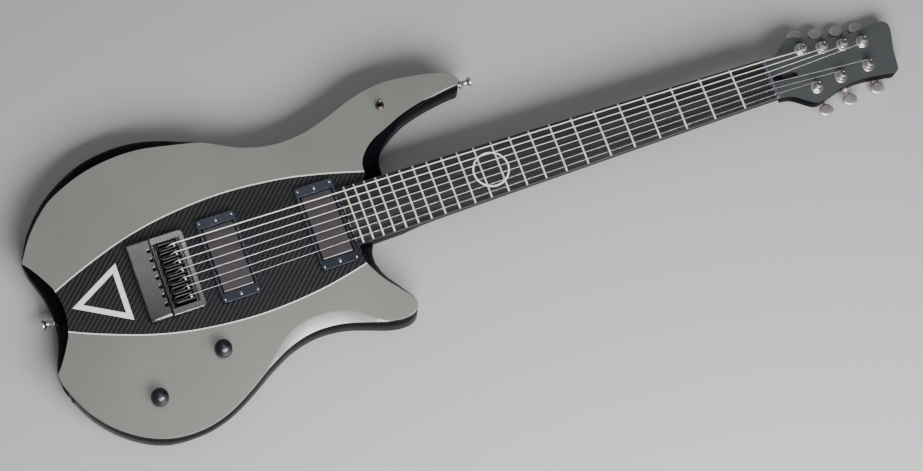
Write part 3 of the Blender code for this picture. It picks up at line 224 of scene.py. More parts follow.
# A 2 by 2 twill: square cells of two thread directions, each step of a row moved by one cell
def carbonTwill():
    look = {"cell": 1.62 * mm, "dark": (0.005, 0.005, 0.006), "light": (0.046, 0.044, 0.050),
            "roughness": (0.30, 0.5), "wobble": 0.9 * mm}
    material, tree, shader = newMaterial("carbonTwill", look["dark"], 0.2, 0.4, Coat_Weight=0.08,
                                         Coat_Roughness=0.25, Specular_IOR_Level=0.3)
    place = placed(tree)
    wobble = makeNode(tree, "ShaderNodeTexNoise", {"Vector": place, "Scale": 60.0, "Detail": 2.0}).outputs["Color"]
    wobble = makeNode(tree, "ShaderNodeVectorMath", {0: wobble, 1: (0.5, 0.5, 0.5)}, operation="SUBTRACT").outputs[0]
    wobble = makeNode(tree, "ShaderNodeVectorMath", {0: wobble, "Scale": look["wobble"]},
                      operation="SCALE").outputs[0]
    place = makeNode(tree, "ShaderNodeVectorMath", {0: place, 1: wobble}, operation="ADD").outputs[0]
    axes = makeNode(tree, "ShaderNodeSeparateXYZ", {0: place}).outputs
    u, v = (calc(tree, "DIVIDE", axis, look["cell"]) for axis in axes[:2])
    stepU, stepV = calc(tree, "FLOOR", u), calc(tree, "FLOOR", v)
    order = calc(tree, "FLOORED_MODULO", calc(tree, "SUBTRACT", stepU, stepV), 4.0)
    warp = calc(tree, "LESS_THAN", order, 1.5)
    # the same bands without their steps, because light runs along the threads from cell to cell
    phase = calc(tree, "MULTIPLY", calc(tree, "SUBTRACT", calc(tree, "SUBTRACT", u, v), 0.5), pi / 2)
    band = calc(tree, "ADD", calc(tree, "MULTIPLY", calc(tree, "COSINE", phase), 0.5), 0.5)
    # the distance across the thread that lies on top, for its rounded height and its fibres
    acrossU, acrossV = (calc(tree, "ABSOLUTE", calc(tree, "SUBTRACT", calc(tree, "FRACT", axis), 0.5))
                        for axis in (u, v))
    across = makeNode(tree, "ShaderNodeMix", {0: warp, 2: acrossU, 3: acrossV}).outputs[0]
    height = calc(tree, "SUBTRACT", 1.0, calc(tree, "POWER", calc(tree, "MULTIPLY", across, 2.0), 3.0))
    fibreX = use(tree, streaks, Vector=place, Stretch=(120, 6000, 1), Strength=0.1)["Value"]
    fibreY = use(tree, streaks, Vector=place, Stretch=(6000, 120, 1), Strength=0.1)["Value"]
    fibre = makeNode(tree, "ShaderNodeMix", {0: warp, 2: fibreY, 3: fibreX}).outputs[0]
    shine = calc(tree, "ADD", calc(tree, "MULTIPLY", warp, 0.4), calc(tree, "MULTIPLY", band, 0.6))
    sheen = calc(tree, "MULTIPLY", spread(tree, shine, 0.03, 1.0), spread(tree, fibre, 0.5, 1.2))
    sheen = calc(tree, "MULTIPLY", sheen, spread(tree, height, 0.45, 1.0))
    color = blendColors(tree, sheen, (*look["dark"], 1), (*look["light"], 1))
    haze = hazed(tree, place, 16.0, look["roughness"])
    relief = calc(tree, "ADD", height, calc(tree, "MULTIPLY", fibre, 0.25))
    feed(tree, shader, Base_Color=color, Roughness=haze, Normal=bumped(tree, relief, 0.35))
    return material


def plasticFinish(name, color, tint, roughness):
    material, tree, shader = newMaterial(name, color, 0.0, roughness, Coat_Weight=0.2, Coat_Roughness=0.15)
    place = placed(tree)
    cloud = noise(tree, place, scale=90.0, detail=4.0, roughness=0.6)
    shade = blendColors(tree, spread(tree, cloud, -0.2, 1.2), (*color, 1), (*tint, 1))
    haze = hazed(tree, place, 40.0, (roughness * 0.8, roughness * 1.25))
    grain = use(tree, pebble, Vector=place, Scale=700.0, Strength=0.05)
    feed(tree, shader, Base_Color=shade, Roughness=haze, Normal=grain["Normal"])
    return material


def woodFinish(name, dark, light, pores, roughness):
    look = {"poreStart": 0.62, "poreShade": 0.3}
    material, tree, shader = newMaterial(name, dark, 0.0, roughness)
    place = placed(tree)
    grain = use(tree, streaks, Vector=place, Stretch=(14, 330, 330), Strength=0.3)
    fine = use(tree, streaks, Vector=place, Stretch=(70, 2200, 2200), Strength=0.3)
    pore = calc(tree, "GREATER_THAN", fine["Value"], look["poreStart"])
    tone = blendColors(tree, spread(tree, grain["Value"], -0.8, 1.8), (*dark, 1), (*light, 1))
    deep = tuple(value * look["poreShade"] for value in dark)
    color = blendColors(tree, calc(tree, "MULTIPLY", pore, pores), tone, (*deep, 1))
    haze = hazed(tree, place, 30.0, (roughness * 0.85, roughness * 1.2))
    feed(tree, shader, Base_Color=color, Roughness=haze, Normal=fine["Normal"])
    return material


# Painted shade: the colour is darkened between two y places, standing in for light that falls off across the part; the
# argument gives the two y places and how dark it gets
def metalFinish(name, color, roughness, stretch=None, pebbled=0.0, tint=0.12, coat=0.0, paintedShade=None, metallic=1.0):
    material, tree, shader = newMaterial(name, color, metallic, roughness[0], Coat_Weight=coat, Coat_Roughness=0.2)
    place = placed(tree)
    stain = noise(tree, place, scale=60.0, detail=4.0, roughness=0.6)
    darker = tuple(value * (1 - tint) for value in color)
    shade = blendColors(tree, spread(tree, stain, -0.3, 1.3), (*color, 1), (*darker, 1))
    # painted shade: darker from the first y place to the second, as the part's light falls off
    if paintedShade:
        start, end, shadeDimmest = paintedShade
        across = makeNode(tree, "ShaderNodeSeparateXYZ", {0: place}).outputs[1]
        shadeAmount = makeNode(tree, "ShaderNodeMapRange", {"Value": across, "From Min": start, "From Max": end},
                          interpolation_type="SMOOTHSTEP").outputs[0]
        shade = blendColors(tree, shadeAmount, shade, (*(value * shadeDimmest for value in color), 1))
    if stretch:
        lines = use(tree, streaks, Vector=place, Stretch=stretch, Strength=0.25)
        shade = blendColors(tree, spread(tree, lines["Value"], 0.0, 0.5), shade, (*darker, 1))
        feed(tree, shader, Normal=lines["Normal"])
    else:
        feed(tree, shader, Normal=use(tree, pebble, Vector=place, Scale=2600.0, Strength=pebbled)["Normal"])
    feed(tree, shader, Base_Color=shade, Roughness=hazed(tree, place, 45.0, roughness))
    return material


# The outer wire of a wound string: fine ridges across its length, with painted shade in the grooves between the
# windings
def woundString(pitch):
    material, tree, shader = newMaterial("woundString", (0.62, 0.60, 0.58), 0.8, 0.3)
    place = placed(tree)
    along = makeNode(tree, "ShaderNodeSeparateXYZ", {0: place}).outputs[0]
    ridgeAndGrooveShade = calc(tree, "SINE", calc(tree, "MULTIPLY", along, 2 * pi / pitch))
    # painted shade: the colour darkens in the grooves between the windings
    color = blendColors(tree, spread(tree, ridgeAndGrooveShade, 0.0, 1.0), (0.72, 0.71, 0.70, 1), (0.98, 0.97, 0.95, 1))
    haze = hazed(tree, place, 50.0, (0.32, 0.45))
    feed(tree, shader, Base_Color=color, Roughness=haze, Normal=bumped(tree, ridgeAndGrooveShade, 0.35, 0.1 * mm))
    return material


finishes = {
    "blackLacquer": blackLacquer(),
    "greenGrey": metallicLacquer("greenGrey", (0.21, 0.22, 0.20), (0.36, 0.37, 0.34), 0.6),
    "headFace": metallicLacquer("headFace", (0.071, 0.077, 0.079), (0.124, 0.133, 0.136), 0.45),
    "carbonTwill": carbonTwill(),
    "creamStrip": plasticFinish("creamStrip", (0.86, 0.85, 0.76), (0.76, 0.74, 0.66), 0.35),
    "whiteInlay": plasticFinish("whiteInlay", (0.93, 0.92, 0.93), (0.84, 0.83, 0.86), 0.3),
    "nutGraphite": plasticFinish("nutGraphite", (0.085, 0.087, 0.12), (0.06, 0.062, 0.088), 0.45),
    "darkPlastic": plasticFinish("darkPlastic", (0.012, 0.012, 0.013), (0.02, 0.02, 0.02), 0.5),
    "boardWood": woodFinish("boardWood", (0.011, 0.0098, 0.0102), (0.031, 0.0265, 0.0270), 0.7, 0.42),
    # painted highlight: a light wood colour for the board's rounded top edges, standing in for the light line they
    # catch
    "boardEdgeHighlight": woodFinish("boardEdgeHighlight", (0.20, 0.20, 0.235), (0.33, 0.33, 0.38), 0.3, 0.3),
    # the truss-rod slot's wood, coloured darker and greyer than bare wood: partly painted shade in the recess
    "bareWoodAndShade": woodFinish("bareWoodAndShade", (0.045, 0.036, 0.042), (0.07, 0.055, 0.062), 0.6, 0.6),
    "woundString": woundString(0.5 * mm),
}
metals = {
    "fretMetal": ((1.0, 0.94, 0.88), (0.3, 0.42), {"stretch": (40, 3000, 40), "tint": 0.04, "metallic": 0.4}),
    "plainString": ((0.98, 0.97, 0.95), (0.28, 0.38), {"tint": 0.04, "metallic": 0.75}),
    "tunerNickel": ((0.76, 0.70, 0.68), (0.26, 0.4), {"pebbled": 0.12}),
    "postNickel": ((0.40, 0.37, 0.36), (0.3, 0.45), {"pebbled": 0.12}),
    "buttonNickel": ((0.78, 0.71, 0.69), (0.42, 0.56), {"pebbled": 0.3}),
    # pewter, pewterFrame and gunmetal carry painted shade, darker towards -y
    "pewter": ((0.46, 0.43, 0.445), (0.2, 0.27), {"pebbled": 0.07, "paintedShade": (0.055, -0.055, 0.33)}),
    "pewterFrame": ((0.66, 0.61, 0.63), (0.22, 0.29), {"pebbled": 0.07, "paintedShade": (0.055, -0.055, 0.35)}),
    "blackSteel": ((0.03, 0.03, 0.034), (0.28, 0.42), {"pebbled": 0.2, "tint": 0.4}),
    # painted highlight: a lighter copy of blackSteel for the saddles' lit rims
    "saddleEdge": ((0.17, 0.17, 0.185), (0.3, 0.42), {}),
    "wornSteel": ((0.42, 0.42, 0.44), (0.25, 0.4), {"pebbled": 0.1}),
    "gunmetal": ((0.12, 0.134, 0.18), (0.2, 0.28), {"pebbled": 0.1, "coat": 0.2, "paintedShade": (0.06, -0.06, 0.5)}),
    "brushedCover": ((0.19, 0.168, 0.18), (0.42, 0.52), {"stretch": (2600, 50, 50), "tint": 0.4}),
    "screwSteel": ((0.60, 0.59, 0.60), (0.2, 0.32), {}),
    "knobMetal": ((0.075, 0.078, 0.09), (0.34, 0.42), {"pebbled": 0.03, "tint": 0.2, "coat": 0.25}),
    "bronzeBlack": ((0.17, 0.13, 0.10), (0.25, 0.38), {}),
    "switchMetal": ((0.27, 0.25, 0.23), (0.2, 0.3), {}),
    "satinChrome": ((0.68, 0.67, 0.69), (0.24, 0.34), {}),
}
for metalName, (metalColor, metalRoughness, extras) in metals.items():
    finishes[metalName] = metalFinish(metalName, metalColor, metalRoughness, **extras)
print("finishes:", len(finishes))


# With flat given, faces over that many square millimetres, and those square to across, are shaded flat
def finishPiece(name, source, looks, body, replaced=(), sharp=35, flat=None, across=(0, 0, 1)):
    square = 0.99999
    bmesh.ops.recalc_face_normals(source, faces=source.faces)
    smooth = [flat is None or (face.calc_area() < flat * mm * mm and abs(face.normal.dot(Vector(across))) < square)
              for face in source.faces]
    mesh = toMesh(source, name)
    for look in [looks] if isinstance(looks, str) else looks:
        mesh.materials.append(finishes[look])
    mesh.set_sharp_from_angle(angle=radians(sharp))
    mesh.polygons.foreach_set("use_smooth", smooth)
    piece = newObject(name, mesh)
    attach(piece, body)
    if replaced:
        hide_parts(*replaced)
    return piece


# A node's own shape, merged and with its sharp edges rounded off
def nodeShape(node, width=0, segments=2, angle=50):
    look = {"merge": 0.005 * mm, "planar": radians(0.6)}
    shape = bmesh.new()
    shape.from_mesh(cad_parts[node].data)
    bmesh.ops.remove_doubles(shape, verts=shape.verts, dist=look["merge"])
    bmesh.ops.dissolve_limit(shape, angle_limit=look["planar"], verts=shape.verts, edges=shape.edges)
    if width:
        roundOff(shape, width, segments, angle)
    return shape


# The straight sides of a level outline, bent into curves through the same corners. Sharp corners stay,
# and so do the cusps of the tail, where a smaller angle counts as sharp.
def easeOutline(shape, up=(0, 0, 1)):
    look = {"least": 6.0, "steepest": 0.11, "level": 0.999,  # which edges belong to the outline
            "sharp": 58.0, "tail": (-150 * mm, 25.0), "shortestBeside": 0.3 * mm,  # which corners stay
            "shortest": 2.5 * mm, "longest": 70 * mm, "cuts": 3, "furthest": 1.2 * mm, "near": 0.002 * mm}
    up = Vector(up)
    level = {face: abs(face.normal.dot(up)) > look["level"] for face in shape.faces}
    outline = {edge for edge in shape.edges if edge.calc_face_angle(0) > radians(look["least"])
               and not all(level[face] for face in edge.link_faces)
               and abs((edge.verts[1].co - edge.verts[0].co).dot(up)) < look["steepest"] * edge.calc_length()}

    def tangent(edge, vert, away):
        chord = away.co - vert.co
        beside = [other for other in vert.link_edges if other in outline and other is not edge]
        if len(beside) != 1:
            return chord.normalized()
        before = vert.co - beside[0].other_vert(vert).co
        sharp = look["tail"][1] if vert.co.x < look["tail"][0] else look["sharp"]
        if before.length < look["shortestBeside"] or before.angle(chord) > radians(sharp):
            return chord.normalized()
        return (before.normalized() * chord.length + chord.normalized() * before.length).normalized()

    bent, places, targets = [], [], []
    for edge in outline:
        length = edge.calc_length()
        if not look["shortest"] < length < look["longest"]:
            continue
        start, end = edge.verts
        leave, arrive = tangent(edge, start, end) * length, -tangent(edge, end, start) * length
        bent.append(edge)
        for step in range(1, look["cuts"] + 1):
            t = step / (look["cuts"] + 1)
            straight = start.co.lerp(end.co, t)
            curved = ((2 * t ** 3 - 3 * t ** 2 + 1) * start.co + (t ** 3 - 2 * t ** 2 + t) * leave
                      + (3 * t ** 2 - 2 * t ** 3) * end.co + (t ** 3 - t ** 2) * arrive)
            shift = curved - straight
            places.append(straight)
            targets.append(straight + shift * min(1.0, look["furthest"] / max(shift.length, 1e-9)))
    bmesh.ops.subdivide_edges(shape, edges=bent, cuts=look["cuts"], use_grid_fill=False)
    known = KDTree(max(len(places), 1))
    for index, place in enumerate(places):
        known.insert(place, index)
    known.balance()
    for vert in shape.verts:
        found = known.find(vert.co)
        if found[2] is not None and found[2] < look["near"]:
            vert.co = targets[found[1]]


def bevelEdges(shape, edges, width, segments, clamp=False):
    return bmesh.ops.bevel(shape, geom=edges, offset=width, offset_type="OFFSET", segments=segments, profile=0.5,
                           affect="EDGES", clamp_overlap=clamp, material=-1)["faces"]


# With none chosen, every edge of a shape counts. Short edges nearby hold the width back.
def roundOff(shape, width, segments=2, angle=50, chosen=None):
    edges = [edge for edge in (chosen or shape.edges) if edge.calc_face_angle(0) > radians(angle)]
    return bevelEdges(shape, edges, width, segments, True)


# Adds what a profile, radii and heights in millimetres, makes when it is spun round its z axis
def lathe(shape, profile, steps, place=None):
    part = bmesh.new()
    points = [part.verts.new((radius * mm, 0, height * mm)) for radius, height in profile]
    edges = [part.edges.new(pair) for pair in zip(points, points[1:])]
    bmesh.ops.spin(part, geom=points + edges, cent=(0, 0, 0), axis=(0, 0, 1), angle=2 * pi, steps=steps,
                   use_merge=True)
    bmesh.ops.remove_doubles(part, verts=part.verts, dist=0.002 * mm)
    addShape(shape, part, place)


def addShape(shape, part, place=None):
    if place:
        bmesh.ops.transform(part, matrix=place, verts=part.verts)
    bmesh.ops.recalc_face_normals(part, faces=part.faces)
    loose = toMesh(part, "loose")
    shape.from_mesh(loose)
    bpy.data.meshes.remove(loose)


def block(shape, low, high, width=0.0, segments=2, place=None):
    part = bmesh.new()
    bmesh.ops.create_cube(part, size=1.0)
    size, centre = Vector(high) - Vector(low), (Vector(high) + Vector(low)) / 2
    bmesh.ops.transform(part, matrix=at(*centre) @ Matrix.Diagonal((*size, 1)), verts=part.verts)
    if width:
        bevelEdges(part, part.edges[:], width, segments)
    addShape(shape, part, place)


def prism(shape, outline, low, high, width=0.0, segments=2, place=None):
    part = bmesh.new()
    face = part.faces.new([part.verts.new((x, y, low)) for x, y in outline])
    bmesh.ops.translate(part, vec=(0, 0, high - low), verts=pullOut(part, [face]))
    if width:
        rim = [edge for edge in part.edges if abs(edge.verts[0].co.z - edge.verts[1].co.z) < 0.0001 * mm]
        bevelEdges(part, rim, width, segments)
    addShape(shape, part, place)


def tube(shape, points, radius, resolution):
    curve = bpy.data.curves.new("tube", "CURVE")
    curve.dimensions = "3D"
    curve.bevel_depth = radius
    curve.bevel_resolution = resolution
    curve.use_fill_caps = True
    line = curve.splines.new("POLY")
    line.points.add(len(points) - 1)
    for point, place in zip(line.points, points):
        point.co = (*place, 1)
    holder = newObject("tube", curve)
    made = bpy.data.meshes.new_from_object(holder.evaluated_get(bpy.context.evaluated_depsgraph_get()))
    bpy.data.objects.remove(holder)
    part = bmesh.new()
    part.from_mesh(made)
    bpy.data.meshes.remove(made)
    bmesh.ops.remove_doubles(part, verts=part.verts, dist=0.002 * mm)
    addShape(shape, part)


def circlePlan(radius, sides, turn):
    return [(radius * cos(turn + 2 * pi * k / sides), radius * sin(turn + 2 * pi * k / sides)) for k in range(sides)]


# A pan-head screw with a cross cut into its head, on the z = 0 plane of its place, in millimetres
def panScrew(shape, radius, height, place, turn=0.4):
    lathe(shape, [(0, height), (radius * 0.45, height * 0.97), (radius * 0.8, height * 0.75), (radius, height * 0.3),
                  (radius, -0.3), (0, -0.3)], 20, place)
    long, wide, low, high = (value * mm for value in (radius * 0.62, radius * 0.11, height * 0.8, height * 1.04))
    for angle in (turn, turn + pi / 2):
        block(shape, (-long, -wide, low), (long, wide, high), 0, 1, place @ turned(angle, "Z"))


# How far the fingerboard's round top lies under its middle line
def crown(y):
    return -y * y / (2 * boardRadius)


def bodyPieces():
    look = {"edge": 0.4 * mm, "backEdge": 0.5 * mm, "stripEdge": 0.25 * mm, "inlayEdge": 0.2 * mm, "nearTop": 0.1 * mm,
            "blend": (70 * mm, 153 * mm), "blendAngles": (12, 34), "blendWidth": 3.2 * mm, "waist": (44 * mm, 196 * mm),
            "waistSide": -90 * mm, "deepCarve": 40.3 * mm, "carveTilt": 0.985, "sideTilt": 0.2}
    back = nodeShape("body_back")
    easeOutline(back)
    roundOff(back, look["backEdge"])
    finishPiece("bodyBack", back, "blackLacquer", "guitar", ["body_back"], sharp=50, flat=2000)
    for name, node in (("upperWing", "upper_top_wing"), ("lowerWing", "lower_top_wing")):
        wing = nodeShape(node)
        markBlack(wing, look)
        easeOutline(wing)
        # the shoulder at the lower waist; the upper wing has none, so all its edges are softened a little
        (low, high), (least, most) = look["blend"], look["blendAngles"]
        shoulder = [edge for edge in wing.edges if least < degrees(edge.calc_face_angle(0)) < most
                    and all(low < vert.co.x < high and vert.co.y < look["waistSide"]
                            and vert.co.z > bodyTop - look["nearTop"] for vert in edge.verts)]
        roundOff(wing, look["blendWidth"], 5, least, shoulder)
        roundOff(wing, look["edge"], 3, angle=40)
        finishPiece(name, wing, ["greenGrey", "blackLacquer"], "guitar", [node], sharp=50,
                    flat=1500)
    centre = nodeShape("carbon_centre_top")
    markBlack(centre, look)
    easeOutline(centre)
    roundOff(centre, look["edge"])
    finishPiece("carbonCentre", centre, ["carbonTwill", "blackLacquer"], "guitar",
                ["carbon_centre_top"], sharp=50, flat=800)
    for name, node in (("upperPurfling", "upper_purfling"), ("lowerPurfling", "lower_purfling")):
        strip = nodeShape(node)
        markBlack(strip, look)
        easeOutline(strip)
        roundOff(strip, look["stripEdge"])
        finishPiece(name, strip, ["creamStrip", "blackLacquer"], "guitar", [node], sharp=50,
                    flat=100)
    inlay = nodeShape("triangle_inlay", look["inlayEdge"])
    finishPiece("triangleInlay", inlay, "whiteInlay", "guitar", ["triangle_inlay"], flat=20)


# Sides and deep carves are lacquered black, apart from the carve at the lower waist
def markBlack(shape, look):
    low, high = look["waist"]
    for face in shape.faces:
        centre = face.calc_center_median()
        deepest = min(vert.co.z for vert in face.verts)
        waist = low < centre.x < high and centre.y < look["waistSide"]
        side = face.normal.z < look["sideTilt"]
        carve = face.normal.z < look["carveTilt"] and deepest < look["deepCarve"] and not waist
        if side or carve:
            face.material_index = 1


def coverPiece():
    look = {"edge": 0.35 * mm, "screw": (2.6, 0.5), "sunk": 0.55 * mm, "inset": 6.5 * mm}
    low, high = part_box("control_cavity_cover")
    plate = nodeShape("control_cavity_cover", look["edge"])
    finishPiece("controlCover", plate, "darkPlastic", "guitar", ["control_cavity_cover"], flat=300)
    screws = bmesh.new()
    middle = (low + high) / 2
    for x, y in ((low.x, middle.y), (high.x, middle.y), (middle.x, low.y), (middle.x, high.y)):
        toMiddle = (Vector((middle.x, middle.y)) - Vector((x, y))).normalized() * look["inset"]
        panScrew(screws, *look["screw"], at(x + toMiddle.x, y + toMiddle.y, look["sunk"]) @ turned(pi, "X"))
    finishPiece("coverScrews", screws, "blackSteel", "guitar")


def neckPiece():
    look = {"edge": 0.9 * mm, "near": 0.5 * mm, "level": 0.99, "opening": (36 * mm, 5.2 * mm, 9.6 * mm)}
    up = headFrame.to_3x3() @ Vector((0, 0, 1))
    neck = nodeShape("neck")
    easeOutline(neck, up)
    inverse = headFrame.inverted()
    long, half, deep = look["opening"]
    for face in neck.faces:
        centre = inverse @ face.calc_center_median()
        normal = inverse.to_3x3() @ face.normal
        if centre.x > look["near"] and normal.z > look["level"] and centre.z > -look["near"]:
            face.material_index = 1
        elif 0.0 < centre.x < long and abs(centre.y) < half and centre.z > -deep:
            face.material_index = 2
    roundOff(neck, look["edge"], 3)
    # the third finish, for the truss-rod opening, is darker than bare wood: partly painted shade in the recess
    finishPiece("neckAndHeadstock", neck, ["blackLacquer", "headFace", "bareWoodAndShade"], "guitar",
                ["neck"], sharp=40, flat=3000, across=up)


def boardPieces():
    look = {"end": 184.4 * mm, "nutHalf": 24.1 * mm, "lastHalf": 34.3 * mm, "nutGap": 0.3 * mm,
            "top": 49.8 * mm, "bottom": 43.3 * mm, "edge": 0.9 * mm, "highlightDepth": 3 * mm,
            "lastFret": 22, "fretWidth": 1.05 * mm, "fretHeight": 1.2 * mm, "fretInset": 0.35 * mm,
            "fretEnd": (1.0 * mm, 0.45), "ring": (353.1, 19.7, 1.9), "ringDepth": 0.3 * mm, "ringSunk": 0.22 * mm}
    lastX = scaleLength * 2 ** (-look["lastFret"] / 12)
    taper = (look["lastHalf"] - look["nutHalf"]) / (scaleLength - lastX)

    def halfAt(x):
        return look["nutHalf"] + (scaleLength - x) * taper

    board = bmesh.new()
    bmesh.ops.create_grid(board, x_segments=1, y_segments=16, size=0.5)
    for vert in board.verts:
        x = look["end"] if vert.co.x < 0 else scaleLength - look["nutGap"]
        y = vert.co.y * 2 * halfAt(x)
        vert.co = (x, y, look["top"] + crown(y))
    for vert in pullOut(board, board.faces[:]):
        vert.co.z = look["bottom"]
    # painted highlight: the rounded faces along the board's top edges get the light edge colour
    for face in roundOff(board, look["edge"], 3, angle=60):
        if face.calc_center_median().z > look["top"] - look["highlightDepth"] and abs(face.normal.x) < 0.5:
            face.material_index = 1
    finishPiece("fingerboard", board, ["boardWood", "boardEdgeHighlight"], "guitar", ["fingerboard"])

    frets = bmesh.new()
    taperLength, least = look["fretEnd"]
    for number in range(1, look["lastFret"] + 1):
        x = scaleLength * 2 ** (-number / 12)
        half = halfAt(x) - look["fretInset"]
        part = bmesh.new()
        bmesh.ops.create_cone(part, cap_ends=True, segments=16, radius1=1, radius2=1, depth=2)
        cuts = [edge for edge in part.edges if abs(edge.verts[0].co.z - edge.verts[1].co.z) > 1]
        bmesh.ops.subdivide_edges(part, edges=cuts, cuts=11)
        for vert in part.verts:
            y = vert.co.z * half
            ends = min(1.0, (half - abs(y)) / taperLength + least)
            vert.co = (x + vert.co.x * look["fretWidth"], y,
                       look["top"] + crown(y) + vert.co.y * look["fretHeight"] * ends)
        addShape(frets, part)
    finishPiece("fretWires", frets, "fretMetal", "guitar", ["fingerboard"], sharp=50)

    centreX, middle, width = (value * mm for value in look["ring"])
    ring = bmesh.new()
    bmesh.ops.create_circle(ring, segments=96, radius=middle + width / 2)
    bmesh.ops.create_circle(ring, segments=96, radius=middle - width / 2)
    bmesh.ops.bridge_loops(ring, edges=ring.edges[:])
    bmesh.ops.translate(ring, vec=(0, 0, look["ringDepth"]), verts=pullOut(ring, ring.faces[:]))
    for vert in ring.verts:
        vert.co = (centreX + vert.co.x, vert.co.y, look["top"] + crown(vert.co.y) - look["ringSunk"] + vert.co.z)
    finishPiece("ringInlay", ring, "whiteInlay", "guitar")

    finishPiece("nut", nodeShape("nut", 0.3 * mm), "nutGraphite", "guitar", ["nut"], flat=6)
    finishPiece("trussRod", nodeShape("truss_rod", 0.3 * mm), "blackSteel", "guitar", ["truss_rod"])


stringPlan = {"diameters": [1.57, 1.17, 0.91, 0.66, 0.43, 0.33, 0.28], "nutSpacing": 6.9 * mm,
              "saddleSpacing": 10.3 * mm, "nutHeight": 0.6 * mm, "saddleHeight": 4.2 * mm,
              "turns": [1.25, 1.5, 1.5, 2, 2.5, 2.5, 2.5], "windingGap": 0.5 * mm, "waist": 3.1 * mm,
              "clearance": 0.3 * mm, "waistTop": 9.4 * mm, "wound": 4, "pastNut": (3.2 * mm, 0.15 * mm),
              # the string's way up to the saddle's crest: x and the depth under the crest, in millimetres
              "rise": [(-12, 6), (-10, 4.2), (-8.4, 2.4), (-7.2, 1.2), (-6, 0.45), (-4.6, 0.08), (-3, 0), (0, 0)]}


def stringRoute(index, stepsPerTurn=28):
    plan = stringPlan
    place, radius = 3 - index, plan["diameters"][index] * mm / 2
    saddleY, nutY = place * plan["saddleSpacing"], place * plan["nutSpacing"]
    high = fretPlane + crown(saddleY) + plan["saddleHeight"]
    nutZ = fretPlane + crown(nutY) + plan["nutHeight"] + radius
    points = [Vector((x * mm, saddleY, high - depth * mm)) for x, depth in plan["rise"]]
    for share in (0.25, 0.5, 0.75, 1.0):
        points.append(Vector((scaleLength * share, saddleY + (nutY - saddleY) * share, high + (nutZ - high) * share)))
    points.append(Vector((scaleLength + plan["pastNut"][0], nutY, nutZ - plan["pastNut"][1])))
    u, v = [value * mm for value in (headPlan["bassPosts"] + headPlan["treblePosts"])[index]]
    side = -1 if index < len(headPlan["bassPosts"]) else 1
    turnRadius = plan["waist"] + plan["clearance"] + radius
    start = headFrame.inverted() @ points[-1]
    away = Vector((u - start.x, v - start.y))
    first = atan2(away.y, away.x) + side * turnRadius / away.length + side * pi / 2
    pitch = 2 * radius + plan["windingGap"]
    top = plan["waistTop"] - plan["clearance"] - radius
    for k in range(round(plan["turns"][index] * stepsPerTurn) + 1):
        angle = first - side * 2 * pi * k / stepsPerTurn
        points.append(headFrame @ Vector((u + turnRadius * cos(angle), v + turnRadius * sin(angle),
                                          top - pitch * k / stepsPerTurn)))
    return points


def stringPieces():
    for number, diameter in enumerate(stringPlan["diameters"], 1):
        shape = bmesh.new()
        tube(shape, stringRoute(number - 1), diameter * mm / 2, 4)
        look = "woundString" if number <= stringPlan["wound"] else "plainString"
        finishPiece("string%d" % number, shape, look, "guitar", ["string_%d" % number], sharp=60)


tunerPlan = {"gap": 0.3, "case": (-7.5, 12.4, 16.0, 8.7), "caseEdge": 1.8, "caseScrew": (2.1, 0.5),
             "cover": (2.6, 0.4, 1.0, 0.6),  # how far in from the case's edges, how far out, how far in, its edge
             "washer": 7.6, "nut": (6.0, 1.2, 3.1, 0.5),  # radius, lower and upper end, edge
             "wormOffset": 7.8, "wormDrop": 4.2, "reach": 23.3, "button": (8.9, 7.2, 3.0), "flare": 0.07,
             "buttonEdge": 2.1, "shaft": 2.0}


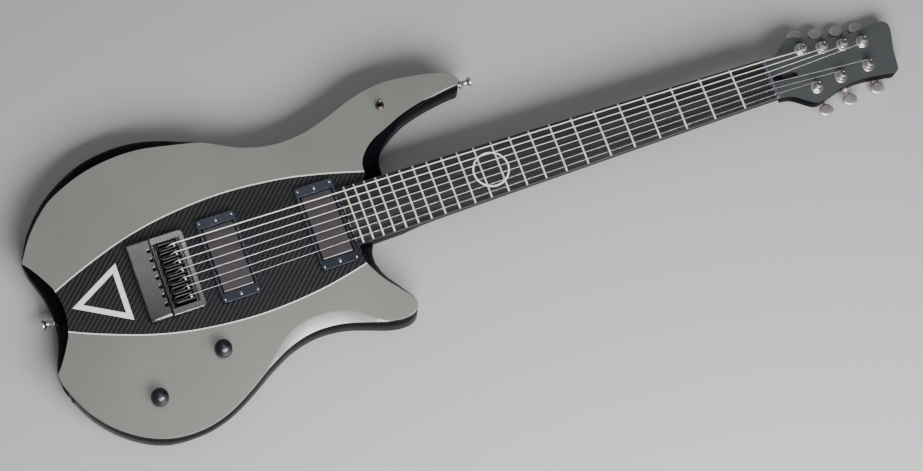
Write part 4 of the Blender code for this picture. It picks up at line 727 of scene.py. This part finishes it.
def tunerPieces(number, u, v, side):
    plan = tunerPlan
    here = headFrame @ at(u * mm, v * mm, 0)
    gap = plan["gap"] * mm
    back = -headPlan["thickness"] - gap
    behind, beyond, wide, deep = (value * mm for value in plan["case"])
    case = bmesh.new()
    block(case, (behind, -wide / 2, back - deep), (beyond, wide / 2, back), plan["caseEdge"] * mm, 4, here)
    inset, proud, sunk, edge = (value * mm for value in plan["cover"])
    block(case, (behind + inset, -wide / 2 + inset, back - deep - proud),
          (beyond - inset, wide / 2 - inset, back - deep + sunk), edge, 2, here)
    panScrew(case, *plan["caseScrew"], here @ at(0, 0, back - deep - gap) @ turned(pi, "X"))
    washer, behindFace = plan["washer"], back / mm
    lathe(case, [(5.2, 1.3), (washer - 0.9, 1.25), (washer - 0.3, 1.0), (washer, 0.6), (washer, 0.3), (3.4, 0.3),
                 (3.4, behindFace - 2), (5.0, behindFace - 2), (5.0, 0.4), (5.2, 1.3)], 48, here)
    radius, low, high, edge = (value * mm for value in plan["nut"])
    prism(case, circlePlan(radius, 6, pi / 6 * (number % 3)), low, high, edge, 2, here)
    lathe(case, [(4.3, 1.2), (4.9, 1.2), (4.9, 3.3), (4.6, 3.6), (4.35, 3.3), (4.3, 1.2)], 32, here)
    finishPiece("tunerCase%d" % number, case, "tunerNickel", "guitar", ["tuner_case_%d" % number],
                flat=30)

    post = bmesh.new()
    lathe(post, [(0, 10.2), (1.5, 10.25), (1.9, 10.7), (3.0, 10.7), (3.5, 10.4), (3.7, 9.9), (3.6, 9.5), (3.3, 9.4),
                 (3.1, 9.0), (3.0, 7.0), (3.1, 4.6), (4.2, 4.1), (4.2, 3.6), (3.0, 3.5), (3.0, behindFace),
                 (0, behindFace)], 32, here)
    slotted = finishPiece("tunerPost%d" % number, post, "postNickel", "post_%d" % number,
                          ["tuner_post_%d" % number])
    cutSlot(slotted, here @ turned(radians(20 + 47 * number), "Z"))

    button = bmesh.new()
    wide, long, thick = (value * mm for value in plan["button"])
    disc = bmesh.new()
    bmesh.ops.create_cone(disc, cap_ends=True, segments=40, radius1=1, radius2=1, depth=2 * thick)
    for vert in disc.verts:
        flare = 1 + plan["flare"] * vert.co.y
        vert.co = (vert.co.x * wide * flare, vert.co.y * long, vert.co.z)
    roundOff(disc, plan["buttonEdge"] * mm, 5, angle=60)
    worm = here @ at(plan["wormOffset"] * mm, 0, back - plan["wormDrop"] * mm)
    outward = worm @ turned(0 if side > 0 else pi, "Z")
    addShape(button, disc, outward @ at(0, plan["reach"] * mm, 0))
    lathe(button, [(0, 22), (3.4, 19.6), (3.0, 17.6), (2.3, 16), (2.1, 13), (2.5, 12.2), (3.6, 11.8), (3.9, 11),
                   (3.9, 8.9), (3.4, 8.4), (plan["shaft"], 8.3), (plan["shaft"], 5), (0, 5)], 28,
          outward @ turned(-pi / 2, "X"))
    finishPiece("tunerButton%d" % number, button, "buttonNickel", "button_%d" % number,
                ["tuner_button_%d" % number])


# The slot across a post's top that takes the string's end
def cutSlot(piece, place):
    look = {"width": 0.9 * mm, "depth": 2.8 * mm, "top": 11.4 * mm, "reach": (8 * mm, 14 * mm)}
    side, above = look["reach"]
    cutter = bmesh.new()
    block(cutter, (-side, -look["width"] / 2, look["top"] - look["depth"]), (side, look["width"] / 2, above),
          0, 1, place)
    tool = newObject("slotCutter", toMesh(cutter, "slotCutter"))
    step = piece.modifiers.new("slot", "BOOLEAN")
    step.object = tool
    step.solver = "EXACT"
    graph = bpy.context.evaluated_depsgraph_get()
    cut = bpy.data.meshes.new_from_object(piece.evaluated_get(graph))
    piece.modifiers.clear()
    piece.data = cut
    bpy.data.objects.remove(tool)


def bridgePieces():
    look = {"edge": 0.35 * mm, "recess": (-31.0, 10.65), "recessFloor": 48.0 * mm,
            "rim": 1.7 * mm, "wider": 2.3, "rimRound": 1.1 * mm, "rimLong": 20 * mm, "rimSide": 3 * mm,
            "ledge": (-25.9, -24.6, 37.9, 41.5, 44.4), "ledgeEdge": 0.4 * mm}
    finishPiece("bridgeFrame", nodeShape("bridge_frame", look["edge"], angle=40), "pewterFrame", "guitar",
                ["bridge_frame"], flat=5)
    low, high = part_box("bridge_tail_block")
    cast = nodeShape("bridge_tail_block")
    # the casting's rounded rim is wider at its -y end
    for vert in cast.verts:
        inward, down = vert.co.y - low.y, high.z - vert.co.z
        if inward < look["rim"] and down < look["rim"]:
            vert.co.y, vert.co.z = low.y + inward * look["wider"], high.z - down * look["wider"]
    long = [edge for edge in cast.edges if edge.calc_length() > look["rimLong"]
            and all(vert.co.y < low.y + look["rimSide"] for vert in edge.verts)]
    roundOff(cast, look["rimRound"], 4, 40, long)
    roundOff(cast, look["edge"], angle=40)
    finishPiece("bridgeTailBlock", cast, "pewter", "guitar", ["bridge_tail_block"], sharp=40, flat=60)
    screws = bmesh.new()
    x, pitch = look["recess"]
    for place in range(-3, 4):
        spot = at(x * mm, place * pitch * mm, look["recessFloor"])
        lathe(screws, [(0, 0.9), (0.75, 0.9), (0.85, 1.5), (1.6, 1.5), (1.9, 1.1), (1.9, 0), (0, 0)], 18, spot)
    finishPiece("stringLockScrews", screws, "blackSteel", "guitar")
    ledge = bmesh.new()
    low, high, half, bottom, top = (value * mm for value in look["ledge"])
    block(ledge, (low, -half, bottom), (high, half, top), look["ledgeEdge"])
    finishPiece("bridgeLedge", ledge, "gunmetal", "guitar", flat=25)
    for number in range(1, 8):
        saddlePieces(number)


def saddlePieces(number):
    look = {"half": 4.4 * mm, "wall": 2.0 * mm, "top": 53.0 * mm, "back": -23.0 * mm, "front": 1.6 * mm,
            "rail": 0.45 * mm, "railStart": 0.6 * mm, "screwBack": 1.4 * mm, "screwDepth": 3.2 * mm,
            "thread": (1.15, 0.85, 0.5, 26), "roller": (-3.4 * mm, 1.0 * mm)}
    y = (4 - number) * stringPlan["saddleSpacing"]
    body, node = "saddle_slider_%d" % number, "saddle_%d" % number
    finishPiece("saddle%d" % number, nodeShape(node, 0.3 * mm), "blackSteel", body, [node], flat=8)
    top = look["top"] + crown(y)
    # painted highlight: lighter rims along the tops of both cheeks, round the saddle's back end, standing in for the
    # light the cheeks catch
    middle = look["half"] - look["wall"] / 2
    centre = look["back"] + look["half"]
    start = look["front"] - look["railStart"]
    rim = [(centre - middle * sin(pi * k / 12), y - middle * cos(pi * k / 12), top) for k in range(13)]
    rim = [(start, y - middle, top), *rim, (start, y + middle, top)]
    highlightRails = bmesh.new()
    tube(highlightRails, rim, look["rail"], 2)
    finishPiece("saddleRim%d" % number, highlightRails, "saddleEdge", body)
    # the screw that draws the saddle along
    along = at(centre - look["screwBack"], y, top - look["screwDepth"]) @ turned(pi / 2, "Y")
    crest, root, pitch, turns = look["thread"]
    thread = [point for k in range(turns) for point in ((crest, k * pitch), (root, (k + 0.5) * pitch))]
    bright = bmesh.new()
    lathe(bright, [(0, 0), *thread, (0, turns * pitch)], 12, along)
    finishPiece("saddleBrights%d" % number, bright, "wornSteel", body, sharp=40)
    roller = bmesh.new()
    rollerX, rollerDepth = look["roller"]
    hub = at(rollerX, y, top - rollerDepth) @ turned(pi / 2, "X")
    lathe(roller, [(0, 2.3), (1.9, 2.3), (2.2, 1.8), (1.7, 0), (2.2, -1.8), (1.9, -2.3), (0, -2.3)], 24, hub)
    finishPiece("saddleRoller%d" % number, roller, "screwSteel", body)


def pickupPieces(kind, x):
    look = {"corner": (18.4 * mm, 45.9 * mm), "screw": (1.5, 0.7), "heightY": 44.4 * mm,
            "heightScrew": (2.5, 1.3), "ringTop": 46.8 * mm, "ringEdge": 0.4 * mm,
            "coverCorner": 2.2 * mm, "coverTall": 8 * mm, "coverEdge": 0.5 * mm}
    ring = nodeShape(kind + "_pickup_ring", look["ringEdge"], 3)
    finishPiece(kind + "PickupRing", ring, "gunmetal", "guitar", [kind + "_pickup_ring"], flat=60)
    cover = nodeShape(kind + "_pickup")
    corners = [edge for edge in cover.edges if abs(edge.verts[0].co.z - edge.verts[1].co.z) > look["coverTall"]]
    roundOff(cover, look["coverCorner"], 5, chosen=corners)
    roundOff(cover, look["coverEdge"], 3)
    finishPiece(kind + "PickupCover", cover, "brushedCover", kind + "_pickup_body",
                [kind + "_pickup"], flat=60)
    screws = bmesh.new()
    apart, aside = look["corner"]
    for sideX in (-1, 1):
        for sideY in (-1, 1):
            spot = at(x * mm + sideX * apart, sideY * aside, look["ringTop"])
            panScrew(screws, *look["screw"], spot, 0.3 + sideX * 0.5 + sideY * 0.2)
    for sideY in (-1, 1):
        spot = at(x * mm, sideY * look["heightY"], look["ringTop"] + 0.2 * mm)
        panScrew(screws, *look["heightScrew"], spot, 0.9 * sideY)
    finishPiece(kind + "RingScrews", screws, "wornSteel", "guitar")


def knobPiece(name, node, x, y):
    look = {"radius": 9.6, "height": 15.5, "dome": 0.56, "seat": 42.3 * mm, "dot": (39, 1.2)}
    r, h, low = look["radius"], look["height"], 1 - look["dome"]
    dome = [(r * sin(radians(a)), h * (low + look["dome"] * cos(radians(a)))) for a in range(0, 91, 9)]
    skirt = [(r, h * 0.12), (r * 0.985, h * 0.03), (r * 0.93, 0)]
    place = at(x * mm, y * mm, look["seat"])
    shape = bmesh.new()
    lathe(shape, dome + skirt + [(3.0, 0), (3.0, -14), (0, -14)], 64, place)
    finishPiece(name, shape, "knobMetal", node, [node], sharp=40)
    # the small dark dot that shows which way the knob is turned
    angle, size = radians(look["dot"][0]), look["dot"][1]
    spot = at(r * sin(angle) * mm, 0, h * (low + look["dome"] * cos(angle)) * mm)
    lean = Vector((sin(angle) / r, 0, cos(angle) / (h * look["dome"]))).to_track_quat("Z", "Y").to_matrix().to_4x4()
    dot = bmesh.new()
    lathe(dot, [(0, 0.12), (size * 0.7, 0.1), (size, -0.05), (size, -0.5), (0, -0.5)], 20, place @ spot @ lean)
    finishPiece(name + "Dot", dot, "blackLacquer", node)


def switchPieces():
    look = {"place": (263.2 * mm, 114.0 * mm, 42.3 * mm), "leverDown": 4 * mm, "steps": 40}
    place = at(*look["place"])
    bushing = bmesh.new()
    lathe(bushing, [(2.6, 3.2), (3.4, 3.4), (3.7, 3.2), (3.75, 2.3), (4.5, 2.2), (4.9, 1.8), (4.95, 0.4),
                    (4.7, 0), (4.3, 0), (4.3, -10), (3.1, -10), (3.1, 1.5), (2.6, 3.2)], look["steps"], place)
    finishPiece("switchBushing", bushing, "bronzeBlack", "guitar", ["switch_bushing"])
    lever = bmesh.new()
    lathe(lever, [(0, 22), (0.9, 21.85), (1.7, 21.2), (2.1, 20), (2.1, 18.6), (1.8, 16.8), (1.3, 14.4),
                  (1.15, 12), (1.2, 2.6), (2.1, 1.7), (2.7, 0), (2.2, -1.7), (0, -2.7)], look["steps"],
          at(0, 0, -look["leverDown"]) @ place)
    finishPiece("switchLever", lever, "switchMetal", "switch", ["switch_lever"])


def fittingPieces():
    look = {"jack": (-157.5 * mm, -84 * mm, 20 * mm), "tail": (-150.75 * mm, 0, 18 * mm),
            "horn": (357.9 * mm, 114.2 * mm, 28 * mm)}
    tailward, hornward = turned(-pi / 2, "Y"), turned(pi / 2, "Y")
    jack = bmesh.new()
    lathe(jack, [(3.35, 2.4), (3.9, 2.5), (7.2, 2.5), (8.0, 2.2), (9.8, 2.1), (10.6, 1.7), (10.8, 1.0),
                 (10.8, 0.3), (8.4, 0.3), (8.4, -30), (0, -30), (0, -23.8), (3.35, -23.8), (3.35, 2.4)], 48,
          at(*look["jack"]) @ tailward)
    finishPiece("outputJack", jack, "gunmetal", "guitar", ["output_jack"])
    for end, facing in (("tail", tailward), ("horn", hornward)):
        place = at(*look[end]) @ facing
        button = bmesh.new()
        lathe(button, [(0, 14), (1.2, 14), (1.5, 13.5), (2.6, 13.5), (2.9, 14), (4.6, 14), (5.4, 13.6), (5.6, 13),
                       (5.6, 11.8), (5.1, 11), (3.8, 9.9), (3.0, 8.4), (2.9, 6.4), (3.3, 4.4), (4.4, 2.4),
                       (5.1, 1.4), (5.2, 0.3), (5.0, 0), (2, 0), (2, -18), (0, -18)], 40, place)
        finishPiece(end + "StrapButton", button, "satinChrome", "guitar", [end + "_strap_button"])


bodyPieces()
coverPiece()
print("body done")
neckPiece()
boardPieces()
stringPieces()
print("neck, board and strings done")
for tunerNumber, (postU, postV) in enumerate(headPlan["bassPosts"] + headPlan["treblePosts"], 1):
    tunerPieces(tunerNumber, postU, postV, 1 if postV > 0 else -1)
bridgePieces()
pickupPieces("neck", 161.7)
pickupPieces("bridge", 48.5)
knobPiece("volumeKnob", "volume_knob", 10.8, -97.6)
knobPiece("toneKnob", "tone_knob", -69.8, -126.8)
switchPieces()
fittingPieces()
print("fittings done")


def studio():
    look = {"floor": (0.45, 0.45, 0.445), "world": (0.80, 0.83, 0.86), "worldStrength": 0.21,
            "lens": 103.48, "eye": (-0.1505, -0.9175, 2.7808),
            # the camera's axes in columns, as solved from the photograph's frets and outline
            "turn": ((0.938284, 0.309667, -0.154043), (-0.342807, 0.891757, -0.295387),
                     (0.045897, 0.329964, 0.942877))}
    floor = bmesh.new()
    bmesh.ops.create_grid(floor, x_segments=1, y_segments=1, size=6.0)
    mesh = toMesh(floor, "studioFloor")
    material, tree, shader = newMaterial("floorPaper", look["floor"], 0.0, 0.7)
    feed(tree, shader, Normal=use(tree, pebble, Vector=placed(tree), Scale=300.0, Strength=0.03)["Normal"])
    mesh.materials.append(material)
    ground = newObject("studioFloor", mesh)
    ground.location = (0, 0, -0.2 * mm)

    world = bpy.context.scene.world or bpy.data.worlds.new("studio")
    bpy.context.scene.world = world
    world.use_nodes = True
    sky = world.node_tree.nodes.get("Background")
    sky.inputs[0].default_value = (*look["world"], 1)
    sky.inputs[1].default_value = look["worldStrength"]

    for name, place, target, size, power in (
            ("keyLight", (0.35, -1.3, 1.02), (0.12, -0.05, 0.02), (1.5, 0.8), 64),
            ("topLight", (0.3, 0.1, 2.2), (0.2, 0, 0), (0.8, 0.5), 3.4),
            ("softLight", (0.2, 1.32, 2.1), (0.2, 0.1, 0), (1.9, 1.1), 2)):
        lamp = bpy.data.lights.new(name, "AREA")
        lamp.shape = "RECTANGLE"
        lamp.size, lamp.size_y = size
        lamp.energy = power
        holder = newObject(name, lamp)
        holder.location = place
        holder.rotation_euler = (Vector(target) - Vector(place)).to_track_quat("-Z", "Y").to_euler()

    camera = newObject("camera", bpy.data.cameras.new("camera"))
    camera.data.lens = look["lens"]
    camera.data.sensor_width = 36
    camera.matrix_world = at(*look["eye"]) @ Matrix(look["turn"]).to_4x4()
    bpy.context.scene.camera = camera


studio()
